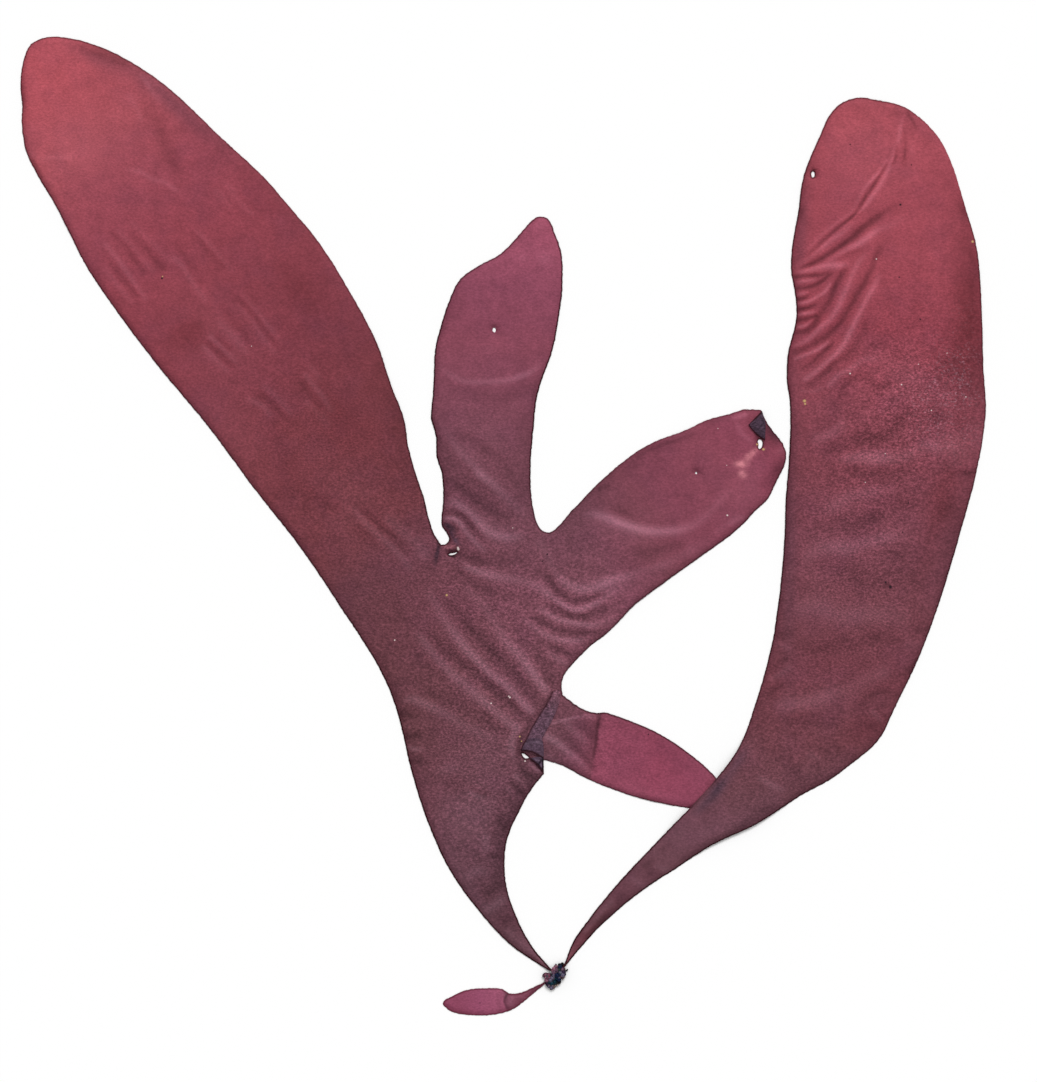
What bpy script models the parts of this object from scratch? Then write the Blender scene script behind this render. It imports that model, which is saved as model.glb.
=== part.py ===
"""Dulse, a flat leathery red seaweed, lying face up: three fronds that grow from one holdfast.

The forked frond is split at its forks into a base and four lobes. The long frond and the small
frond have no forks, so each is one piece. Outlines are in millimetres from the middle of the
holdfast, with Y towards the tips of the fronds; everything is then moved so that the middle of
the whole specimen's underside is the origin.
"""

import math

import bmesh
import bpy
from mathutils import Matrix, Vector, noise
from mathutils.geometry import interpolate_bezier

MM = 0.001

# Thicknesses, heights and gaps, in millimetres
BLADE_THICKNESS = 0.4
SMALL_BLADE_THICKNESS = 0.3
PIECE_GAP = 0.3
CROSSING_LIFT = 0.85  # how far the long frond rises to pass over the side lobe
CROSSING_PLATEAU = 5.5  # it stays that high this far round the side lobe's end
CROSSING_RAMP = 11.0  # and comes down to the floor over this length
PLEAT_RISE = 0.55  # the blade is folded over itself at the side lobe's fork, two layers more
PLEAT_STEP = 0.35  # width of the slope at the pleat's free edges

# How finely a blade is meshed
GRID = 4.0  # millimetres between the mesh lines across a blade
CHORD = 1.6  # longest straight step along a margin, in millimetres
TURN = math.radians(9)  # largest change of direction at one step

# The holdfast: a low lumpy disc, longer one way, with a bud of a new blade at its side
DISC_MIDDLE = (0.3, 0.1)
DISC_RADII = (2.5, 1.45, 1.15)
DISC_ANGLE = math.radians(66)
DISC_CENTRE_HEIGHT = 0.55
BUD_MIDDLE = (-1.45, 0.15)
BUD_RADII = (0.95, 0.75, 0.6)
BUD_CENTRE_HEIGHT = 0.35
LUMP_HEIGHT = 0.22
LUMPS_PER_MM = 1.8

# The forked frond's margin, clockwise from the stalk, as runs that belong to one piece each; a run
# ends where the next begins, and the piece it belongs to is cut off straight between its ends
FORKED_FROND = [
    ("base", [
        (-1.3, 1.2), (-4.0, 2.8), (-8.1, 5.8), (-13.2, 11.3), (-18.3, 18.5), (-22.0, 26.7),
        (-24.9, 35.8), (-26.1, 41.1), (-27.5, 46.4), (-29.9, 52.2), (-36.4, 62.6),
    ]),
    ("left_lobe", [
        (-36.4, 62.6), (-43.6, 73.3), (-51.8, 83.8), (-59.6, 94.3), (-68.2, 104.7),
        (-73.9, 112.2), (-80.1, 121.2), (-85.8, 132.3), (-88.4, 136.6), (-90.8, 141.6),
        (-91.5, 146.4), (-91.4, 149.0), (-91.7, 152.7), (-91.2, 156.8), (-89.9, 159.7),
        (-87.2, 160.9), (-83.0, 160.7), (-76.2, 158.5), (-67.3, 153.0), (-57.2, 143.6),
        (-50.2, 137.1), (-44.2, 130.2), (-40.6, 125.8), (-36.1, 118.7), (-30.6, 108.4),
        (-28.2, 101.2), (-25.9, 95.2), (-25.3, 90.9), (-24.1, 86.5), (-22.5, 81.7),
        (-21.7, 78.3), (-20.9, 75.9), (-19.7, 74.0),
    ]),
    ("base", [(-19.7, 74.0), (-18.8, 74.2), (-18.3, 75.2)]),
    ("middle_lobe", [
        (-18.3, 75.2), (-19.5, 77.1), (-19.6, 78.4), (-19.3, 81.7), (-19.6, 86.5), (-20.5, 89.2),
        (-20.5, 92.3), (-21.4, 95.7), (-21.1, 99.5), (-20.5, 108.6), (-19.9, 110.8),
        (-18.4, 115.5), (-16.4, 119.5), (-13.0, 121.9), (-9.4, 123.9), (-5.5, 128.0),
        (-3.3, 130.1), (-1.5, 129.9), (-0.1, 127.0), (0.8, 124.5), (1.1, 117.6), (0.4, 112.5),
        (-0.4, 108.0), (-3.2, 99.5), (-3.9, 93.3), (-4.3, 88.4), (-4.3, 83.6), (-3.7, 79.3),
    ]),
    ("base", [(-3.7, 79.3), (-2.7, 76.8), (-1.4, 76.1), (-0.1, 76.7), (1.9, 78.9)]),
    ("right_lobe", [
        (1.9, 78.9), (7.2, 84.5), (12.2, 88.8), (16.3, 91.4), (22.6, 93.8), (25.9, 95.4),
        (29.6, 96.4), (32.2, 97.2), (35.1, 97.1), (35.9, 95.3), (37.2, 93.4), (38.8, 91.4),
        (39.4, 89.6), (39.1, 87.5), (37.8, 85.0), (36.4, 82.0), (34.0, 79.7), (32.1, 77.6),
        (29.8, 75.6), (24.1, 71.5), (16.6, 66.1), (13.7, 63.9), (8.6, 58.7), (5.8, 56.6),
    ]),
    ("base", [(5.8, 56.6), (2.6, 53.3), (1.4, 51.7), (0.9, 49.8), (1.2, 48.3)]),
    ("side_lobe", [
        (1.2, 48.3), (3.1, 46.8), (5.0, 45.7), (7.0, 45.2), (8.3, 45.3), (11.5, 44.3),
        (17.6, 41.7), (24.3, 37.1), (27.6, 33.9), (29.3, 31.2), (29.2, 29.4), (27.4, 28.6),
        (22.9, 28.9), (17.3, 29.9), (11.5, 31.5), (6.3, 33.5), (2.6, 35.4), (1.1, 36.2),
        (-2.1, 37.2),
    ]),
    ("base", [
        (-2.1, 37.2), (-2.1, 34.8), (-4.3, 32.0), (-6.2, 28.6), (-8.3, 23.8), (-8.8, 20.4),
        (-8.6, 16.3), (-7.4, 11.9), (-4.2, 5.4), (-1.0, 1.6),
    ]),
]
SHARP_POINTS = {(-19.7, 74.0), (35.1, 97.1), (1.2, 48.3), (-2.1, 37.2), (-2.1, 34.8)}
SIDE_LOBE_END = (28.2, 30.1)

# The pleat's corners away from the side lobe's fork, from top to bottom
PLEAT_TOP = (-0.6, 49.0)
PLEAT_LOW = (-6.0, 38.9)

# Margins of the two fronds that have no forks, each clockwise from the stalk and back to it
LONG_FROND = [
    (1.7, 2.9), (2.7, 5.6), (6.4, 10.9), (10.9, 16.4), (19.3, 25.3), (27.2, 33.8), (31.4, 39.6),
    (33.8, 45.7), (36.9, 56.8), (38.4, 66.8), (39.2, 76.9), (39.3, 81.3), (39.9, 88.7),
    (40.1, 93.7), (40.0, 98.8), (39.5, 102.2), (39.7, 106.7), (41.1, 112.5), (41.1, 115.9),
    (40.2, 121.7), (41.5, 131.3), (42.4, 137.2), (45.4, 144.5), (46.8, 147.5), (49.1, 149.8),
    (52.4, 150.6), (54.3, 150.3), (59.8, 148.9), (64.6, 144.9), (66.9, 141.3), (70.1, 131.8),
    (72.1, 124.5), (72.9, 113.9), (73.2, 103.9), (73.6, 96.6), (71.7, 85.1), (69.9, 78.4),
    (66.2, 65.8), (63.0, 56.8), (60.8, 51.7), (58.5, 47.1), (55.1, 40.4), (51.5, 37.2),
    (46.6, 33.6), (42.5, 31.4), (34.6, 26.4), (26.5, 22.5), (20.7, 18.7), (14.5, 14.6),
    (7.9, 9.0), (5.0, 5.9), (2.1, 2.5),
]
SMALL_FROND = [
    (-2.2, -0.9), (-3.9, -1.8), (-6.2, -2.7), (-8.0, -2.8), (-9.2, -2.1), (-12.2, -1.9),
    (-15.6, -2.3), (-17.8, -3.3), (-19.4, -4.5), (-19.0, -5.1), (-17.8, -6.0), (-15.9, -6.4),
    (-12.7, -6.6), (-10.3, -6.4), (-7.7, -5.7), (-6.3, -4.8), (-3.9, -2.9), (-2.2, -1.4),
]

# Colours, as they look on a screen, with roughness
COLOURS = {
    "holdfast": ((48, 40, 58), 0.6),
    "forked_frond_base": ((99, 56, 70), 0.5),
    "forked_frond_left_lobe": ((134, 60, 73), 0.5),
    "forked_frond_middle_lobe": ((116, 58, 75), 0.5),
    "forked_frond_right_lobe": ((121, 58, 74), 0.5),
    "forked_frond_side_lobe": ((146, 68, 90), 0.5),
    "long_frond": ((128, 58, 72), 0.5),
    "small_frond": ((148, 66, 92), 0.5),
}


def clear_scene():
    for old in list(bpy.data.objects):
        bpy.data.objects.remove(old)


def directions_at(before, here, after, sharp):
    """The margin's direction as it comes to a point and as it leaves it."""
    arriving = (here - before).normalized()
    leaving = (after - here).normalized()
    if sharp:
        return arriving, leaving
    both = (arriving + leaving).normalized()
    return both, both


def smooth_margin(points):
    """A smooth curve through the given points, in closer steps where it turns.

    Gives one list of points for each stretch, from one given point to the next.
    """
    knots = [Vector(point) for point in points]
    neighbours = zip([knots[0]] + knots, knots, knots[1:] + [knots[-1]], points)
    directions = [directions_at(*around, point in SHARP_POINTS) for *around, point in neighbours]
    stretches = []
    for i in range(len(knots) - 1):
        start, end = knots[i], knots[i + 1]
        leaving, arriving = directions[i][1], directions[i + 1][0]
        reach = (end - start).length / 3
        steps = max(1, math.ceil(3 * reach / CHORD), math.ceil(leaving.angle(arriving) / TURN))
        curve = interpolate_bezier(
            start, start + leaving * reach, end - arriving * reach, end, steps + 1
        )
        stretches.append([point.to_2d() for point in curve])
    return stretches


def joined(stretches):
    """The points of several stretches as one run, with the points they share taken once."""
    return [stretches[0][0]] + [point for stretch in stretches for point in stretch[1:]]


def sheet(name, outline, thickness):
    """A flat sheet of the given outline with its underside at zero height, as a bmesh."""
    curve = bpy.data.curves.new(name + "_outline", "CURVE")
    curve.dimensions = "2D"
    curve.fill_mode = "BOTH"
    curve.extrude = thickness / 2
    spline = curve.splines.new("POLY")
    spline.points.add(len(outline) - 1)
    for point, place in zip(spline.points, outline):
        point.co = (place.x, place.y, 0, 1)
    spline.use_cyclic_u = True
    outline_object = bpy.data.objects.new(name + "_outline", curve)
    bpy.context.collection.objects.link(outline_object)
    shape = bpy.data.meshes.new_from_object(
        outline_object.evaluated_get(bpy.context.evaluated_depsgraph_get())
    )
    bm = bmesh.new()
    bm.from_mesh(shape)
    bpy.data.objects.remove(outline_object)
    bpy.data.meshes.remove(shape)
    bmesh.ops.remove_doubles(bm, verts=bm.verts, dist=0.001)
    bmesh.ops.translate(bm, verts=bm.verts, vec=(0, 0, thickness / 2))
    inner_edges = [e for e in bm.edges if all(abs(f.normal.z) > 0.9 for f in e.link_faces)]
    bmesh.ops.dissolve_edges(bm, edges=inner_edges, use_verts=False)
    return bm


def add_mesh_lines(bm):
    """Cuts the sheet along a square grid, so that it can bend."""
    for axis in (Vector((1, 0, 0)), Vector((0, 1, 0))):
        reaches = [v.co.dot(axis) for v in bm.verts]
        for line in range(math.ceil(min(reaches) / GRID), math.ceil(max(reaches) / GRID)):
            everything = bm.verts[:] + bm.edges[:] + bm.faces[:]
            bmesh.ops.bisect_plane(
                bm, geom=everything, dist=0.001, plane_co=axis * line * GRID, plane_no=axis
            )


def raise_pleat(bm, fork_end):
    """Raises the strip beside the side lobe's fork, with a short slope at its two free edges."""
    edges = []
    for start, end in ((Vector(PLEAT_TOP), Vector(PLEAT_LOW)), (Vector(PLEAT_LOW), fork_end)):
        along = (end - start).normalized()
        edges.append((start.to_3d(), Vector((-along.y, along.x, 0))))
    middle = (Vector(PLEAT_TOP) + fork_end).to_3d() / 2
    reach = (Vector(PLEAT_TOP) - fork_end).length / 2 + GRID
    for start, into_pleat in edges:
        for inset in (0, PLEAT_STEP):
            faces = [f for f in bm.faces if (f.calc_center_median() - middle).length < reach]
            near = {item for f in faces for item in (*f.verts, *f.edges, f)}
            place = start + into_pleat * inset
            bmesh.ops.bisect_plane(
                bm, geom=list(near), dist=0.001, plane_co=place, plane_no=into_pleat
            )
    for vert in bm.verts:
        insets = [(vert.co - start).dot(into_pleat) for start, into_pleat in edges]
        near = (vert.co - middle).length < reach
        if near and vert.co.z > BLADE_THICKNESS / 2 and min(insets) > PLEAT_STEP - 0.002:
            vert.co.z += PLEAT_RISE


def set_back_from_fork(bm, start, end):
    """Moves a lobe's cut edge, from start to end, into the lobe to leave the gap between pieces."""
    along = (end - start).normalized()
    into_lobe = Vector((-along.y, along.x, 0))
    for vert in bm.verts:
        offset = vert.co.to_2d() - start
        beside = abs(offset.cross(along)) < 0.002
        if beside and -0.002 < offset.dot(along) < (end - start).length + 0.002:
            vert.co += into_lobe * PIECE_GAP


def lift_over_side_lobe(bm, lobe_end):
    """Raises a blade where it crosses the end of the side lobe, and lets it down all round."""
    for vert in bm.verts:
        distance = (vert.co.to_2d() - lobe_end).length - CROSSING_PLATEAU
        ramp = min(1, max(0, 1 - distance / CROSSING_RAMP))
        vert.co.z += CROSSING_LIFT * ramp * ramp * (3 - 2 * ramp)


def add_piece(name, bm, collection, frame):
    """Turns a bmesh in millimetres into a named object with its own material."""
    bmesh.ops.triangulate(bm, faces=bm.faces)
    bmesh.ops.scale(bm, verts=bm.verts, vec=(MM, MM, MM))
    bmesh.ops.recalc_face_normals(bm, faces=bm.faces)
    mesh = bpy.data.meshes.new(name)
    bm.to_mesh(mesh)
    bm.free()
    colour, roughness = COLOURS[name]
    material = bpy.data.materials.new(name)
    material.use_nodes = True
    shader = material.node_tree.nodes["Principled BSDF"]
    linear = [((c / 255 + 0.055) / 1.055) ** 2.4 for c in colour]
    shader.inputs["Base Color"].default_value = (*linear, 1)
    shader.inputs["Roughness"].default_value = roughness
    shader.inputs["Metallic"].default_value = 0
    mesh.materials.append(material)
    piece = bpy.data.objects.new(name, mesh)
    piece.parent = frame
    collection.objects.link(piece)
    return piece


def make_forked_frond(collection, frame):
    points = [FORKED_FROND[0][1][0]] + [point for _, run in FORKED_FROND for point in run[1:]]
    stretches = smooth_margin(points)
    base = []
    lobes = {}
    for name, run in FORKED_FROND:
        margin = joined(stretches[: len(run) - 1])
        stretches = stretches[len(run) - 1 :]
        if name == "base":
            base += margin
        else:
            lobes["forked_frond_" + name] = margin
    bm = sheet("forked_frond_base", base, BLADE_THICKNESS)
    add_mesh_lines(bm)
    raise_pleat(bm, lobes["forked_frond_side_lobe"][-1])
    add_piece("forked_frond_base", bm, collection, frame)
    for name, margin in lobes.items():
        bm = sheet(name, margin, BLADE_THICKNESS)
        add_mesh_lines(bm)
        set_back_from_fork(bm, margin[0], margin[-1])
        add_piece(name, bm, collection, frame)


def make_long_frond(collection, frame):
    bm = sheet("long_frond", joined(smooth_margin(LONG_FROND)), BLADE_THICKNESS)
    add_mesh_lines(bm)
    lift_over_side_lobe(bm, Vector(SIDE_LOBE_END))
    add_piece("long_frond", bm, collection, frame)


def make_small_frond(collection, frame):
    bm = sheet("small_frond", joined(smooth_margin(SMALL_FROND)), SMALL_BLADE_THICKNESS)
    add_mesh_lines(bm)
    add_piece("small_frond", bm, collection, frame)


def lumpy_ball(middle, radii, angle, height):
    """A lumpy ellipsoid cut off flat at zero height, as a bmesh in millimetres."""
    bm = bmesh.new()
    bmesh.ops.create_uvsphere(bm, u_segments=20, v_segments=12, radius=1)
    bmesh.ops.scale(bm, verts=bm.verts, vec=radii)
    bmesh.ops.rotate(bm, verts=bm.verts, matrix=Matrix.Rotation(angle, 3, "Z"))
    for vert in bm.verts:
        vert.co += vert.co.normalized() * LUMP_HEIGHT * noise.noise(vert.co * LUMPS_PER_MM)
    bmesh.ops.translate(bm, verts=bm.verts, vec=(*middle, height))
    everything = bm.verts[:] + bm.edges[:] + bm.faces[:]
    cut = bmesh.ops.bisect_plane(
        bm, geom=everything, dist=0.001, plane_co=(0, 0, 0), plane_no=(0, 0, 1), clear_inner=True
    )
    rim = [item for item in cut["geom_cut"] if isinstance(item, bmesh.types.BMEdge)]
    bmesh.ops.edgeloop_fill(bm, edges=rim)
    return bm


def make_holdfast(collection, cutters, frame):
    disc = lumpy_ball(DISC_MIDDLE, DISC_RADII, DISC_ANGLE, DISC_CENTRE_HEIGHT)
    holdfast = add_piece("holdfast", disc, collection, frame)
    bud_mesh = bpy.data.meshes.new("bud")
    bud = lumpy_ball(BUD_MIDDLE, BUD_RADII, 0, BUD_CENTRE_HEIGHT)
    bmesh.ops.scale(bud, verts=bud.verts, vec=(MM, MM, MM))
    bmesh.ops.recalc_face_normals(bud, faces=bud.faces)
    bud.to_mesh(bud_mesh)
    bud.free()
    bud_object = bpy.data.objects.new("bud", bud_mesh)
    bud_object.parent = frame
    bud_object.hide_render = True
    bud_object.display_type = "WIRE"
    cutters.objects.link(bud_object)
    join = holdfast.modifiers.new("bud", "BOOLEAN")
    join.operation = "UNION"
    join.object = bud_object


def centre_on_origin(pieces, frame):
    """Moves the frame that carries the pieces, so that the middle of their box is over the origin."""
    corners = [vert.co for piece in pieces for vert in piece.data.vertices]
    for axis in (0, 1):
        reach = [corner[axis] for corner in corners]
        frame.location[axis] = -(min(reach) + max(reach)) / 2


def main():
    clear_scene()
    collection = bpy.data.collections.new("dulse")
    cutters = bpy.data.collections.new("joined_shapes")
    for group in (collection, cutters):
        bpy.context.scene.collection.children.link(group)
    frame = bpy.data.objects.new("dulse_frame", None)
    collection.objects.link(frame)
    make_forked_frond(collection, frame)
    make_long_frond(collection, frame)
    make_small_frond(collection, frame)
    make_holdfast(collection, cutters, frame)
    centre_on_origin([piece for piece in collection.objects if piece.type == "MESH"], frame)


main()
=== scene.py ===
# Looks of a dulse specimen: three dark red fronds that grow from one small holdfast,
# lying flat on a pale floor
import math

import bmesh
import bpy
import numpy as np
from mathutils import Matrix, Vector, kdtree, noise


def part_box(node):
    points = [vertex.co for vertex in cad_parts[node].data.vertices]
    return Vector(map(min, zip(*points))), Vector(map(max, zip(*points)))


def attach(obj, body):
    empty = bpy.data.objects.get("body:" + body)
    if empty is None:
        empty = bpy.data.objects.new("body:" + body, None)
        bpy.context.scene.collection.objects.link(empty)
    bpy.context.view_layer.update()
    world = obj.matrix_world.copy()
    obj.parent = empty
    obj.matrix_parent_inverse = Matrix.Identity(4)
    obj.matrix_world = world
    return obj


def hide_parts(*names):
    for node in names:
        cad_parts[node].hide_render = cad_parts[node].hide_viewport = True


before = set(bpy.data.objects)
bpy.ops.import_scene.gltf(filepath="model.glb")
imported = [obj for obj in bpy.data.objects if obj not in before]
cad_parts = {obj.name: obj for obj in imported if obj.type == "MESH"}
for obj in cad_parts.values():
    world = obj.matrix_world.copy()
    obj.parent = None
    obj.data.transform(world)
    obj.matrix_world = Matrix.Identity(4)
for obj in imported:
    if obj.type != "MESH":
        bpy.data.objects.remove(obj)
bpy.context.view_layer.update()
print("frame loaded:", len(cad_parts), "nodes")
noise.seed_set(1)  # noise_vector would otherwise differ from run to run

mm = 0.001
# Every place below is in millimetres from this point, in the middle of the holdfast
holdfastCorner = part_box("holdfast")[0]
middle = Vector((holdfastCorner.x + 2.455 * mm, holdfastCorner.y + 2.315 * mm, 0))


# ---- small helpers for places and lines ----


def smoothLine(points, closed=False, steps=5):
    # a smooth line through a few points; a third number, a strength, is carried along
    points = np.array(points, float)
    if len(points) < 3:
        return points
    if closed:
        ends = np.vstack([points[-1:], points, points[:2]])
    else:
        ends = np.vstack([2 * points[0] - points[1], points, 2 * points[-1] - points[-2]])
    share = np.linspace(0, 1, steps, endpoint=False)[:, None]
    line = []
    for a, b, c, d in zip(ends, ends[1:], ends[2:], ends[3:]):
        bend = (2 * a - 5 * b + 4 * c - d) * share**2 + (3 * b - a - 3 * c + d) * share**3
        line.append(0.5 * (2 * b + (c - a) * share + bend))
    line.append(line[0][:1] if closed else points[-1:])
    return np.vstack(line)


def softStep(values):
    values = np.clip(values, 0, 1)
    return values * values * (3 - 2 * values)


def nearLine(places, line, reach):
    # the places within reach of a line, with their distance, the line's side and its strength there
    flat = line[:, :2]
    low, high = flat.min(0) - reach, flat.max(0) + reach
    near = np.flatnonzero(((places > low) & (places < high)).all(1))
    spot = places[near]
    best = np.full(len(spot), 1e9)
    side = np.zeros(len(spot))
    strength = np.zeros(len(spot))
    for a, b in zip(line, line[1:]):
        span = b[:2] - a[:2]
        offset = spot - a[:2]
        share = np.clip(offset @ span / max(span @ span, 1e-9), 0, 1)
        gap = offset - share[:, None] * span
        distance = np.hypot(gap[:, 0], gap[:, 1])
        nearer = distance < best
        best[nearer] = distance[nearer]
        side[nearer] = np.sign(span[0] * offset[:, 1] - span[1] * offset[:, 0])[nearer]
        strength[nearer] = (a[-1] + share * (b[-1] - a[-1]))[nearer]
    return near, best, side, strength


def noiseAt(places, size, seed):
    # smooth noise from about -1 to 1, with features of the given size
    return np.array([noise.noise((x / size + seed, y / size - seed, seed)) for x, y in places])


def placesOf(items):
    return np.array([(v.co.x, v.co.y) for v in items]).reshape(-1, 2)


# ---- blades: flat sheets from the frame's own outlines, then creased, thickened and rounded ----

creaseRise = 0.17  # height of a crease of strength 1, for each millimetre of its width
lightSide = (0.55, 0.83)  # the way towards the light: margins turned from it get a painted shade border
broadCrease = 0.7  # creases from this width on, and those fainter than the next value, need no finer mesh
faintCrease = 0.35
borderShadeWidth = 0.7
roundness = 0.05  # how far a blade's edge bulges
marginReach = 2.5  # how far in a margin's own shifts fade out
facingRounds = 4  # how often the margin's directions are evened out
mostTriangles = 190000  # in one blade, with both its sides
edgeWidth = 2.8  # how far the darker shading of a margin reaches in


def flatSheet(nodes):
    # the upper faces of these nodes, flat and in millimetres; a face's material number tells its node
    bm = bmesh.new()
    for number, name in enumerate(nodes):
        known = set(bm.faces)
        bm.from_mesh(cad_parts[name].data)
        for face in bm.faces:
            if face not in known:
                face.material_index = number
    bmesh.ops.translate(bm, verts=bm.verts, vec=-middle)
    bmesh.ops.scale(bm, verts=bm.verts, vec=(1 / mm, 1 / mm, 1 / mm))
    bmesh.ops.remove_doubles(bm, verts=bm.verts, dist=0.002)
    bm.normal_update()
    lower = [face for face in bm.faces if face.normal.z < 0.3]
    bmesh.ops.delete(bm, geom=lower, context="FACES")
    bmesh.ops.scale(bm, verts=bm.verts, vec=(1, 1, 0))
    bmesh.ops.remove_doubles(bm, verts=bm.verts, dist=0.002)
    return bm


def closeSeam(bm, start, end, gap=0.3):
    # draws a lobe back over the gap at its fork and joins it to the base
    start, end = Vector(start), Vector(end)
    along = (end - start).normalized()
    into = Vector((-along.y, along.x))
    length = (end - start).length

    def onSeam(vert, depth, reach=0.02):
        offset = vert.co.xy - start
        inside = -0.02 < offset.dot(along) < length + 0.02
        return inside and abs(offset.dot(into) - depth) < reach

    # corners left inside the gap join the lobe's cut edge first
    cutEdge = [vert for vert in bm.verts if onSeam(vert, gap)]
    strays = [vert for vert in bm.verts if onSeam(vert, gap / 2, gap / 2 - 0.02)]
    homes = {vert: min(cutEdge, key=lambda other: (other.co - vert.co).length) for vert in strays}
    bmesh.ops.weld_verts(bm, targetmap=homes)
    for vert in bm.verts:
        if onSeam(vert, gap):
            vert.co -= into.to_3d() * gap
    seam = [vert for vert in bm.verts if onSeam(vert, 0)]
    bmesh.ops.remove_doubles(bm, verts=seam, dist=0.02)
    loose = [v for v in bm.verts if onSeam(v, 0) and 0.05 < (v.co.xy - start).dot(along) < length - 0.05]
    for vert in [v for v in loose if v.is_boundary]:
        for edge in [e for e in bm.edges if e.is_boundary and all(onSeam(v, 0) for v in e.verts)]:
            a, b = edge.verts
            if vert in (a, b):
                continue
            share = (vert.co - a.co).dot(b.co - a.co) / (b.co - a.co).length_squared
            if 0.001 < share < 0.999:
                made = bmesh.utils.edge_split(edge, a, share)[1]
                bmesh.ops.weld_verts(bm, targetmap={made: vert})
                break


def reachIn(bm, place, targets):
    # grows the cut end of a stalk on through the given places, narrower each time
    rim = [e for e in bm.edges if e.is_boundary]
    place = Vector(place)
    edge = min(rim, key=lambda e: ((e.verts[0].co + e.verts[1].co).xy / 2 - place).length)
    for target, width in targets:
        here = (edge.verts[0].co + edge.verts[1].co) / 2
        grown = bmesh.ops.extrude_edge_only(bm, edges=[edge])["geom"]
        edge = [item for item in grown if isinstance(item, bmesh.types.BMEdge)][0]
        across = (edge.verts[1].co - edge.verts[0].co).normalized()
        target = Vector(target).to_3d()
        for vert, way in zip(edge.verts, (-0.5, 0.5)):
            vert.co = target + across * way * width


def refine(bm, frond):
    # halves edges until none is longer than its place needs: shorter at margins, creases, specks and holes
    fine = []
    for fold in frond["folds"]:
        width = fold["width"]
        for line in fold["lines"]:
            strongest = max(abs(place[2]) for place in line) * fold.get("strength", 1)
            if width < broadCrease and strongest >= faintCrease:
                size = frond["creaseSize"] * max(1, 2.6 * width)
                fine.append((smoothLine(line), size, 1.2 * width + 0.1))
    spots = [(place, size) for speck in frond["specks"] for place, size in speck["spots"]]
    holes = [smoothLine(hole, closed=True) for hole in frond["holes"]]
    for _ in range(9):
        edges = bm.edges[:]
        ends = np.array([(*e.verts[0].co.xy, *e.verts[1].co.xy) for e in edges])
        places = (ends[:, :2] + ends[:, 2:]) / 2
        lengths = np.hypot(*(ends[:, :2] - ends[:, 2:]).T)
        wanted = np.full(len(edges), frond["meshSize"])
        rim = [e.verts[0].is_boundary or e.verts[1].is_boundary for e in edges]
        wanted[np.array(rim)] = frond["rimSize"]
        for line, size, reach in fine:
            near, distance, _, _ = nearLine(places, line, reach)
            wanted[near] = np.where(distance < reach, np.minimum(wanted[near], size), wanted[near])
        for (x, y), size in spots:
            away = np.hypot(places[:, 0] - x, places[:, 1] - y)
            wanted = np.minimum(wanted, np.maximum(max(0.1, 0.6 * size), 0.7 * away))
        for hole in holes:
            near, distance, _, _ = nearLine(places, hole, 0.3)
            wanted[near] = np.where(distance < 0.25, 0.12, wanted[near])
        long = [edge for edge, cut in zip(edges, lengths > wanted) if cut]
        if not long:
            break
        bmesh.ops.subdivide_edges(bm, edges=long, cuts=1)
        bmesh.ops.triangulate(bm, faces=[f for f in bm.faces if len(f.verts) > 3])
    inner = [v for v in bm.verts if not v.is_boundary]
    for _ in range(3):
        bmesh.ops.smooth_vert(
            bm, verts=inner, factor=0.5, use_axis_x=True, use_axis_y=True, use_axis_z=False
        )


def cutHole(bm, outline):
    # takes out the faces inside a small outline and draws the rim onto it
    line = smoothLine(outline, closed=True)
    centre = Vector(line.mean(0))
    reach = max((Vector(point) - centre).length for point in line)
    faces = [f for f in bm.faces if (f.calc_center_median().xy - centre).length < reach]
    places = np.array([f.calc_center_median().xy for f in faces])
    near, _, side, _ = nearLine(places, line, 2 * reach)
    area = sum(a[0] * b[1] - b[0] * a[1] for a, b in zip(line, line[1:]))
    inside = [faces[i] for i, way in zip(near, side) if way * area > 0]
    bmesh.ops.delete(bm, geom=inside, context="FACES")
    for vert in bm.verts:
        if vert.is_boundary and (vert.co.xy - centre).length < reach + 0.15:
            here = np.array(vert.co.xy)
            closest = min(
                (a + np.clip((here - a) @ (b - a) / ((b - a) @ (b - a) + 1e-12), 0, 1) * (b - a)
                 for a, b in zip(line, line[1:])),
                key=lambda point: np.hypot(*(point - here)),
            )
            if np.hypot(*(closest - here)) < 0.15:
                vert.co.xy = closest


def marginFacts(bm):
    # how far each vertex is from the nearest free margin, and which way that margin faces
    rim = [v for v in bm.verts if v.is_boundary]
    number = {vert: place for place, vert in enumerate(rim)}
    tree = kdtree.KDTree(len(rim))
    for vert, place in number.items():
        tree.insert(vert.co, place)
    tree.balance()
    facing = [Vector() for _ in rim]
    pairs = []
    for edge in bm.edges:
        if edge.is_boundary:
            a, b = edge.verts
            across = Vector((b.co.y - a.co.y, a.co.x - b.co.x, 0))
            if across.dot(edge.link_faces[0].calc_center_median() - a.co) > 0:
                across.negate()
            pairs.append((number[a], number[b]))
            for end in pairs[-1]:
                facing[end] += across
    for _ in range(facingRounds):
        before = [way.copy() for way in facing]
        for a, b in pairs:
            facing[a] += 0.5 * before[b]
            facing[b] += 0.5 * before[a]
    facing = [way.normalized() for way in facing]
    found = [tree.find(v.co) for v in bm.verts]
    return np.array([hit[2] for hit in found]), np.array([facing[hit[1]].xy for hit in found])


def drawInMargin(bm):
    # takes off the outline what the rounded edge will add again
    rim, facing = marginFacts(bm)
    shift = -roundness * (1 - softStep(rim / marginReach))
    for vert, way, amount in zip(bm.verts, facing, shift):
        vert.co.xy += Vector(way) * amount


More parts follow.
